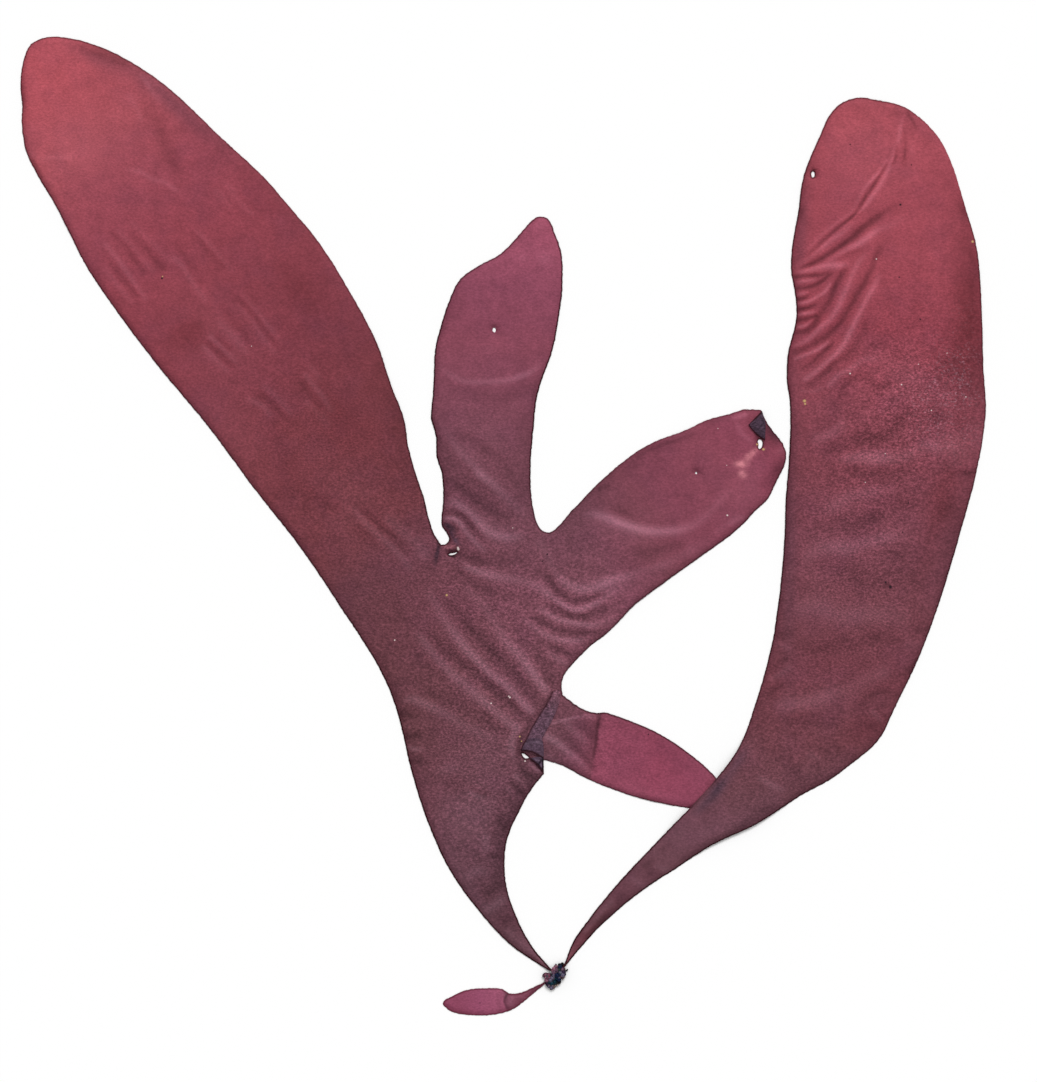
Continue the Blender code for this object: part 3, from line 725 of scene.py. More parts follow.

# Creases: each line is a row of places with a strength,
# above 0 for a ridge with painted light and below 0 for a furrow with painted shade
baseCreases = [
    {"width": 0.8, "lines": [
        [(-21.5, 65.5, 0.3), (-20, 62.8, 0.4), (-18.5, 60.3, 0.6), (-17, 58.3, 1), (-15, 55.7, 1.2),
         (-13, 53.7, 1.2),
         (-11.5, 52, 1.2), (-10, 50.8, 1.2), (-8.3, 49.5, 1.2), (-6.8, 47.8, 1.2), (-5, 46, 1.2),
         (-3.7, 45.2, 0.6)],
        [(-23.5, 59, 0.3), (-22.5, 57.5, 0.7), (-20.5, 54.8, 0.6), (-18, 52, 0.9), (-15.5, 50, 0.7),
         (-13.5, 48.2, 1),
         (-12, 46.9, 1), (-10, 45.2, 0.7), (-8.3, 43.6, 0.8), (-6.7, 42.6, 0.9)],
        [(-15, 66.5, 0.3), (-12, 63, 0.35), (-10.5, 60.5, 0.35), (-9, 58, 0.6), (-7.5, 56.3, 0.9),
         (-6, 54.8, 0.9),
         (-4.5, 52.7, 1.2), (-3.3, 51.2, 1.2), (-2, 49.6, 1.2), (-1.3, 48.9, 0.5)],
        [(-26.5, 47, 0.3), (-24.8, 47.6, 0.8), (-22.5, 46.8, 0.9), (-20.5, 45.8, 0.7), (-18, 44.5, 0.5),
         (-16, 43.2, 0.4), (-13, 41.8, 0.35), (-11, 41, 0.2)],
        [(-23.5, 60, -0.2), (-21, 58, -0.5), (-18.5, 55.7, -0.7), (-16, 53.8, -0.8), (-13.5, 52, -1),
         (-11.5, 50.3, -1), (-9.5, 48.7, -1.1), (-7.5, 46.8, -1.1), (-6, 45.3, -0.9), (-4.8, 44.2, -0.5)],
        [(-19, 65.5, -0.2), (-18, 63.5, -0.5), (-16.5, 61.8, -0.6), (-15.2, 60.3, -0.9),
         (-13.5, 58.7, -1.1),
         (-12, 57, -1.1), (-10.7, 55.7, -1.1), (-9, 54, -1.1), (-7.3, 52.2, -1), (-6, 50.7, -0.9),
         (-4.7, 48.7, -0.8),
         (-3.7, 47.5, -0.4)],
        [(-22, 48.8, -0.5), (-20, 48, -0.7), (-17.5, 47, -0.5), (-15.5, 46, -0.3), (-12.5, 44.3, -0.5),
         (-10.5, 43, -0.6), (-8.5, 42, -0.4)],
        [(-6, 60, -0.3), (-4.5, 57.5, -0.4), (-3.2, 55.5, -0.4), (-2.3, 53.3, -0.7), (-1.2, 51.3, -1),
         (-0.4, 50, -0.7)],
        [(-17.5, 70.6, -0.7), (-15, 68.2, -0.7), (-13.5, 67, -0.7), (-11, 65.8, -0.6), (-8.5, 65.2, -0.4),
         (-5.5, 64.5, -0.3)],
        [(-24, 55, -0.3), (-21.5, 53, -0.4), (-19.5, 51, -0.2)],
        [(-12, 23.8, 0.5), (-11.8, 22, 0.4)],
        [(-14.8, 17.3, 0.3), (-13.5, 18.2, 0.5), (-11.8, 17.8, 0.25)],
        [(-10.5, 16.2, -0.5), (-9.5, 15.7, -0.7), (-11.8, 14.5, -0.6)],
        [(-9.3, 13.2, 0.6), (-10.5, 12.3, 0.6), (-12, 11.5, 0.5)],
        [(-8, 7.5, 0.4), (-6.5, 6, 0.4), (-4.5, 4.3, 0.4)], [(-9.6, 26.9, -0.8), (-9, 25.8, -0.9)],
    ]},
    # the ridge that runs from the torn fork into ripples that turn up into the right lobe
    {"width": 0.75, "lines": [
        [(-18, 71.5, 0.3), (-16.8, 71, 0.9), (-15, 70, 1.1), (-12.5, 69.2, 1.1), (-11, 68.7, 1),
         (-9, 68.3, 0.7),
         (-6, 67.8, 0.5), (-3.5, 67, 0.6), (-1.5, 65.7, 0.8)],
        [(-2.8, 74.5, 0.25), (-1.5, 72, 0.3), (-0.3, 69.5, 0.3), (1, 68, 0.7), (2.5, 67, 0.9),
         (4.5, 66.4, 0.9),
         (6.5, 66.7, 0.6), (8.5, 67.5, 0.9), (10.3, 68.2, 0.7), (12.5, 68.8, 0.5), (14.5, 69.8, 0.3),
         (18, 70.5, 0.3),
         (20, 71.5, 0.3), (23, 73, 0.2)],
        [(-16.4, 72.6, -0.6), (-15.6, 72, -1), (-14, 71.4, -1), (-12, 71, -0.8), (-9.5, 71.4, -0.6),
         (-7, 71.4, -0.6),
         (-5, 71.3, -0.2)],
        [(-13.5, 86, 0.6), (-11, 84.5, 0.95), (-9, 82.5, 0.5), (-7.3, 81, 0.4), (-5.5, 79.2, 0.2)],
        [(-20, 94.5, 0.15), (-18.5, 92.5, 0.3), (-17, 90.5, 0.5), (-15, 88.3, 0.6), (-13, 86.3, 0.8),
         (-12, 85.3, 0.4)],
        [(-18, 85, -0.8), (-16, 83.7, -0.9), (-14, 81.8, -0.8), (-12, 80.5, -0.8), (-10, 79.5, -0.8),
         (-8.5, 78.5, -0.4)],
        [(-16, 92.5, -0.35), (-14, 92, -0.3), (-12.3, 90.3, -0.6), (-10, 88.7, -0.4), (-8.5, 86.8, -0.35),
         (-7, 85.3, -0.3), (-5.5, 83.5, -0.3)],
        [(-19.2, 80.8, 0.4), (-17.7, 81.3, 0.7), (-16.4, 80.6, 1.1), (-14.8, 79.4, 1), (-13.5, 78, 1),
         (-12, 76.5, 1),
         (-10.5, 75.6, 1), (-8.2, 75.2, 0.9), (-5.8, 75.5, 0.3)],
        [(5, 79.2, 0.35), (6.5, 79.2, 0.8), (8.5, 78.6, 1.2), (10.5, 77.8, 1.3), (13, 76.9, 1.3),
         (15.5, 76.3, 1.3),
         (18, 76.2, 1.2), (20.5, 76.4, 1.1), (22.5, 76.9, 0.8), (24.5, 78, 0.5), (26.5, 79.8, 0.4),
         (28.3, 81.7, 0.35),
         (29.3, 83, 0.2)],
        [(9.5, 80.8, -0.4), (11.5, 79.7, -0.7), (13, 78.9, -0.5), (15, 78, -0.3), (20, 77.9, -0.2)],
        [(14, 73, -0.5), (16, 72.5, -0.5), (18.5, 73.5, -0.5), (21, 74, -0.5)],
    ]},
    {"width": 0.55, "lines": [
        [(-1.5, 65.7, 0.2), (0.3, 64.3, 1), (2, 63.2, 1), (3.7, 62.8, 1.1), (5.3, 63.3, 1),
         (6.6, 63.9, 0.9),
         (8, 64.8, 0.5), (10, 66, 0.2)],
        [(-3, 69.6, -0.3), (-1.5, 68.5, -0.9), (-0.3, 66.8, -1.1), (1, 65.6, -1), (2.7, 64.7, -0.8),
         (4.5, 64.5, -1),
         (6.5, 65, -0.9), (8, 65.5, -0.3)],
        [(-1.2, 63.7, -0.3), (0.3, 62.9, -0.9), (1.8, 62.1, -1.1), (3.5, 61.7, -1.2), (5.2, 61.8, -1.1),
         (6.5, 62.4, -0.8), (8.5, 63, -0.6), (11, 64.2, -0.3)],
        [(-3, 63, 0.3), (-1.5, 62.2, 0.7), (0.2, 61.3, 0.9), (2, 60.9, 1), (4, 60.5, 1), (6, 60.2, 0.8),
         (7.5, 60.5, 0.4),
         (9.5, 61.3, 0.2)],
        [(-4, 61.8, -0.4), (-2.8, 61.2, -0.9), (-0.8, 60, -0.9), (1, 59.2, -1), (2.6, 59, -1),
         (4.6, 58.9, -0.9),
         (6.5, 59, -0.7), (7.8, 59.3, -0.3)],
        [(-5.5, 61, 0.3), (-4, 60, 0.5), (-2.2, 58.8, 0.7), (0, 57.9, 0.8), (1.8, 57.6, 1),
         (3.7, 57.6, 0.8), (5.3, 58, 0.2)],
        [(-1, 56.4, -0.3), (0.5, 56, -0.6), (2, 55.5, -0.7), (3.4, 55.5, -0.4)],
        [(-1.2, 55.5, 0.3), (0.5, 54.3, 0.6), (1.8, 53.6, 0.4)],
        [(-26.5, 45.2, -0.9), (-25, 44.8, -0.8), (-22.5, 44.3, -0.2)], [(-26, 43, 0.5), (-24, 43, 0.2)],
        [(-25.8, 41.2, -0.9), (-24, 41.3, -0.9), (-22.5, 41.5, -0.2)],
        [(-25.2, 39.3, 0.9), (-24, 39, 0.9), (-22.5, 39, 0.2)],
        [(-25, 36.8, -0.7), (-23, 36.8, -0.6), (-21, 37, -0.1)],
        [(-8.2, 32.2, 0.4), (-7.3, 31, 0.5), (-6.3, 30.3, 0.4)], [(-11, 20.8, -0.5), (-9.5, 20.6, -0.5)],
        [(-9, 9.5, -0.6), (-7.5, 10, -0.5)], [(-6.8, 34.3, 0.6), (-6, 33.3, 0.6), (-5.2, 32.5, 0.5)],
        [(-7.4, 41.5, 0.6), (-7.8, 39.5, 0.7), (-7.4, 38, 0.3)],
    ]},
    {"width": 0.48, "lines": [
        [(-19, 78.6, 1), (-17.6, 78.5, 1.3), (-16.4, 77.6, 1.2), (-15.4, 76.2, 0.9), (-14, 74.6, 0.9),
         (-12.3, 73, 0.4)],
        [(-18.7, 79.5, -0.6), (-16.8, 79.4, -1), (-15.3, 78.3, -1.1), (-14, 76.7, -0.8),
         (-12.8, 75.2, -0.4)],
    ]},
    {"width": 0.4, "lines": [
        [(-5.8, 35.5, -0.9), (-4.5, 34.6, -1), (-3.5, 34, -0.9)], [(-4.5, 36.5, 0.8), (-3, 35.3, 1)],
        [(-7.6, 33.5, -0.6), (-6.5, 32, -0.8), (-5.8, 31.3, -0.7)],
        [(-14.5, 32.5, -0.4), (-13, 31.8, -0.5), (-11.5, 31.5, -0.3)],
        [(-14.7, 31.5, 0.4), (-12.8, 30.7, 0.4)],
        [(-0.9, 47.9, -0.3), (-2.4, 46.2, -0.7), (-4, 44.1, -0.8), (-5.2, 42.2, -0.9), (-6.2, 40.3, -1),
         (-6.5, 38.4, -1),
         (-6.2, 36.5, -0.7), (-5.9, 35, -0.3)],
    ]},
    {"width": 0.27, "rise": -0.3, "lines": [
        [(-20.0, 74.6, -1.9), (-20.2, 73, -1.9), (-20.5, 71.5, -1.7), (-20.8, 70.3, -0.8)],
    ]},
    {"width": 0.2, "rise": -0.3, "lines": [
        [(-17.6, 72, -1.2), (-16.8, 71.2, -1.5), (-15.9, 70.6, -1.2), (-15.2, 70.3, -0.4)],
        [(-18.4, 72.95, -1.8), (-17.8, 73.0, -2), (-17.1, 73.2, -1.6)],
        [(-18.2, 72.2, -2), (-17.2, 72.05, -2)],
        [(-24.5, 75.5, -0.4), (-22.5, 77, -0.5)], [(-6.6, 40, 0.5), (-6.4, 37, 0.4), (-6.3, 35.4, 0.3)],
    ]},
]

lobeCreases = [
    # the middle lobe's arc and the dull band under it
    {"width": 0.55, "lines": [
        [(-19.8, 104.2, 0.2), (-18, 103, 0.4), (-16, 102, 0.5), (-13.5, 101.8, 0.6), (-11, 101.9, 0.6),
         (-8.5, 102.1, 0.7),
         (-6.3, 102.7, 0.9), (-4.5, 103.4, 0.8), (-2.8, 104.6, 0.35), (-1.8, 105.8, 0.2)],
        [(-8, 97.6, 0.15), (-6.5, 98.4, 0.25), (-5, 98.7, 0.2)],
    ]},
    {"width": 1.2, "rise": 0.08, "lines": [
        [(-17, 100.3, -0.25), (-13, 99.5, -0.3), (-10, 99, -0.4), (-6.5, 99.5, -0.35), (-3.5, 101, -0.3)],
        [(-19.7, 91.5, -0.3), (-17, 88, -0.2), (-15, 86.3, -0.3), (-12.7, 84, -0.3)],
        [(-48, 93, -0.15), (-46.5, 89, -0.25), (-46, 86, -0.25), (-45, 83, -0.2)],
        [(12, 68.5, 0.1), (15, 69.3, 0.2), (18, 70.5, 0.2)], [(26, 74.5, 0.2), (23, 73, 0.2)],
    ]},
    # the left lobe's crease near its tip
    {"width": 1.15, "strength": 1.3, "lines": [
        [(-69.3, 148.5, -0.2), (-68, 146, -0.35), (-67.2, 143.5, -0.5), (-66.3, 141.3, -0.55),
         (-65.4, 139, -0.5),
         (-64, 137, -0.2)],
        [(-28.5, 78, 0.3), (-26, 76, 0.25), (-24, 74.5, 0.25), (-22.5, 72.5, 0.3)],
        [(-44, 83, -0.2), (-41, 81, -0.3), (-38, 80.6, -0.2)],
    ]},
    {"width": 0.6, "lines": [
        [(-34.5, 80, 0.2), (-32.5, 77.7, 0.4), (-30.5, 75.8, 0.4), (-28.5, 74, 0.5), (-26.5, 72, 0.4),
         (-25, 70, 0.3)],
        [(-33, 79.8, -0.3), (-31, 78.2, -0.5), (-29, 76.5, -0.5), (-27, 74.5, -0.4), (-25.5, 72.8, -0.3)],
        [(-34, 76.8, -0.25), (-31.5, 74.6, -0.25)],
    ]},
    {"width": 0.45, "lines": [
        [(-71, 154.3, 0.5), (-70, 153, 0.5), (-69, 151.5, 0.35), (-68, 149.7, 0.15)],
        [(-73, 150.8, 0.2), (-71.8, 148.8, 0.25), (-71, 146.8, 0.35)],
        [(-73.5, 138.2, 0.15), (-71, 137.7, 0.5), (-69, 136.5, 0.4), (-67, 136, 0.45), (-65.5, 135, 0.45),
         (-64.6, 134.4, 0.2)],
        [(-90, 140.9, 0.3), (-88, 140, 0.2), (-86.5, 140.3, 0.3), (-83, 140.3, 0.25)],
        [(-89.5, 139.5, -0.6), (-88, 137, -0.4)],
        [(30.5, 95.7, 0.7), (32.3, 96.2, 1)], [(31, 94.5, 0.4), (32, 92.8, 0.5), (33.5, 91.7, 0.4)],
        [(14, 89.3, -0.4), (17, 90.8, -0.7), (20, 91.7, -0.6), (22, 92.3, -0.5), (24, 93.5, -0.3)],
        [(27.5, 76, 0.3), (29, 77.2, 0.3), (31, 79, 0.3)], [(30, 77.6, 0.4), (32, 78.7, 0.5)],
        [(7.5, 83.7, -0.9), (9, 84, -0.6)],
    ]},
    # fine furrows across the middle of the left lobe
    {"width": 0.52, "strength": 1.35, "lines": [
        [(-77, 125.3, 0.3), (-75.5, 123.5, 0.35), (-74, 121.5, 0.4), (-72.2, 118.8, 0.35),
         (-70.3, 116.2, 0.25)],
        [(-77, 121, 0.2), (-74.5, 117.8, 0.25), (-72.5, 115.5, 0.15)],
        [(-76, 122, -0.2), (-74, 119.3, -0.35), (-71.7, 116.5, -0.3)],
        [(-75, 127.5, 0.2), (-73, 125.5, 0.2), (-71, 123, 0.2), (-69, 121, 0.2)],
        [(-76, 127.5, -0.25), (-73.3, 124.5, -0.25), (-72.3, 123, -0.5), (-70.5, 120.5, -0.3)],
        [(-72.3, 127, -0.2), (-69.5, 123.8, -0.4), (-67.3, 121.2, -0.4)],
        [(-72.5, 129, 0.15), (-69, 125.5, 0.15), (-66, 122.5, 0.15)],
        [(-65.3, 123, 0.3), (-63.8, 121.5, 0.3), (-62, 118.5, 0.25), (-60, 116, 0.2)],
        [(-65, 125.5, -0.2), (-63, 122.5, -0.25), (-60.5, 119, -0.2)],
        [(-61.5, 127.5, 0.2), (-59.5, 125.5, 0.25), (-57, 122.5, 0.2), (-55.5, 121, 0.1)],
        [(-62, 127, -0.2), (-59.7, 124.5, -0.3), (-57, 121.5, -0.2)],
        [(-56.8, 136, 0.1), (-54.5, 133.8, 0.25), (-52, 130.8, 0.25)],
        [(-58, 134.5, 0.2), (-55.5, 132, 0.15)],
        [(-54, 134, -0.15), (-51.3, 131.2, -0.15)],
        [(-53.5, 116.5, 0.15), (-51, 113.5, 0.25), (-48.7, 110.8, 0.25), (-47, 108.5, 0.1)],
        [(-54.5, 115, 0.15), (-52, 112.5, 0.2), (-50, 109.5, 0.25), (-48.2, 107, 0.2)],
        [(-54.7, 116.5, -0.3), (-51.5, 113, -0.25), (-49.8, 110.5, -0.25), (-48, 108.5, -0.2)],
        [(-59, 109.5, 0.35), (-57, 107.8, 0.3), (-55, 105.3, 0.2)],
        [(-60.2, 107.8, 0.3), (-58.3, 105.8, 0.25), (-56.3, 103.8, 0.2)],
        [(-59.6, 108.5, -0.3), (-57.7, 106.7, -0.35), (-55.5, 104.6, -0.3)],
        [(-58, 109.5, -0.35), (-56, 107.5, -0.35)],
        [(-57.5, 112, 0.2), (-55, 109.5, 0.25), (-53, 107, 0.2)],
        [(-57, 114.5, -0.2), (-54, 111, -0.2), (-52, 108.3, -0.2)],
        [(-42.8, 103, 0.3), (-41.5, 101.2, 0.3), (-40, 99.5, 0.3), (-38.5, 97, 0.2)],
        [(-43.7, 101.8, -0.3), (-42, 99.5, -0.3), (-40.5, 97.5, -0.25)],
        [(-42, 104.5, 0.2), (-40.5, 102.5, 0.2)],
        [(-42.5, 98.5, 0.2), (-40.5, 96.5, 0.25), (-39, 94.5, 0.2)],
        [(-50, 101, 0.2), (-47.5, 99, 0.2), (-45.5, 96.5, 0.2)],
        [(-50.5, 99.8, -0.3), (-48.5, 98, -0.3), (-46.3, 95.5, -0.3)],
        [(-52.5, 98.8, 0.25), (-50.3, 97.8, 0.3), (-49, 96.3, 0.2)],
    ]},
    {"width": 0.9, "rise": 0.1, "lines": [[(6.9, 44.5, -0.25), (6.3, 42.3, -0.4), (6, 40, -0.4),
                                           (5.8, 38, -0.2)]]},
    # the side lobe: a crisp crease across it, and slanting folds on the side of its fork
    {"width": 0.6, "lines": [
        [(-2.5, 41.6, 1), (-1, 40.8, 1.2), (0.5, 39.9, 1), (2, 38.6, 0.8), (3.5, 37.6, 0.7), (5, 36.2, 0.5),
         (6.3, 35.2, 0.2)],
        [(0.3, 42.7, -0.3), (2, 40.8, -0.6), (3.8, 38.8, -0.8), (5.3, 37.2, -0.9), (6.4, 35.9, -0.7)],
        [(1.8, 43.3, 0.4), (3.5, 41.8, 0.4), (5.5, 40, 0.4)], [(5.7, 44.6, 0.8), (6.9, 44.4, 0.8)],
        [(4, 43.4, -0.4), (5.4, 42.5, -0.6), (6.2, 41, -0.5)],
        [(-1.9, 37.7, 0.7), (-0.8, 37.2, 0.6), (0.3, 36.8, 0.3)],
    ]},
    {"width": 0.3, "lines": [
        [(7.6, 45, -1.2), (7.4, 44.2, -1.7), (7, 42.3, -1.7), (6.9, 40.5, -1.5), (6.6, 38.5, -1.2),
         (6.4, 37.2, -0.4)],
        [(-0.7, 43.4, 0.7), (2.1, 44.2, 0.8), (4.8, 44.7, 0.7)],
        [(-9.2, 118.5, -0.2), (-8.7, 116.5, -0.3), (-8, 113.9, -0.2)],
    ]},
]

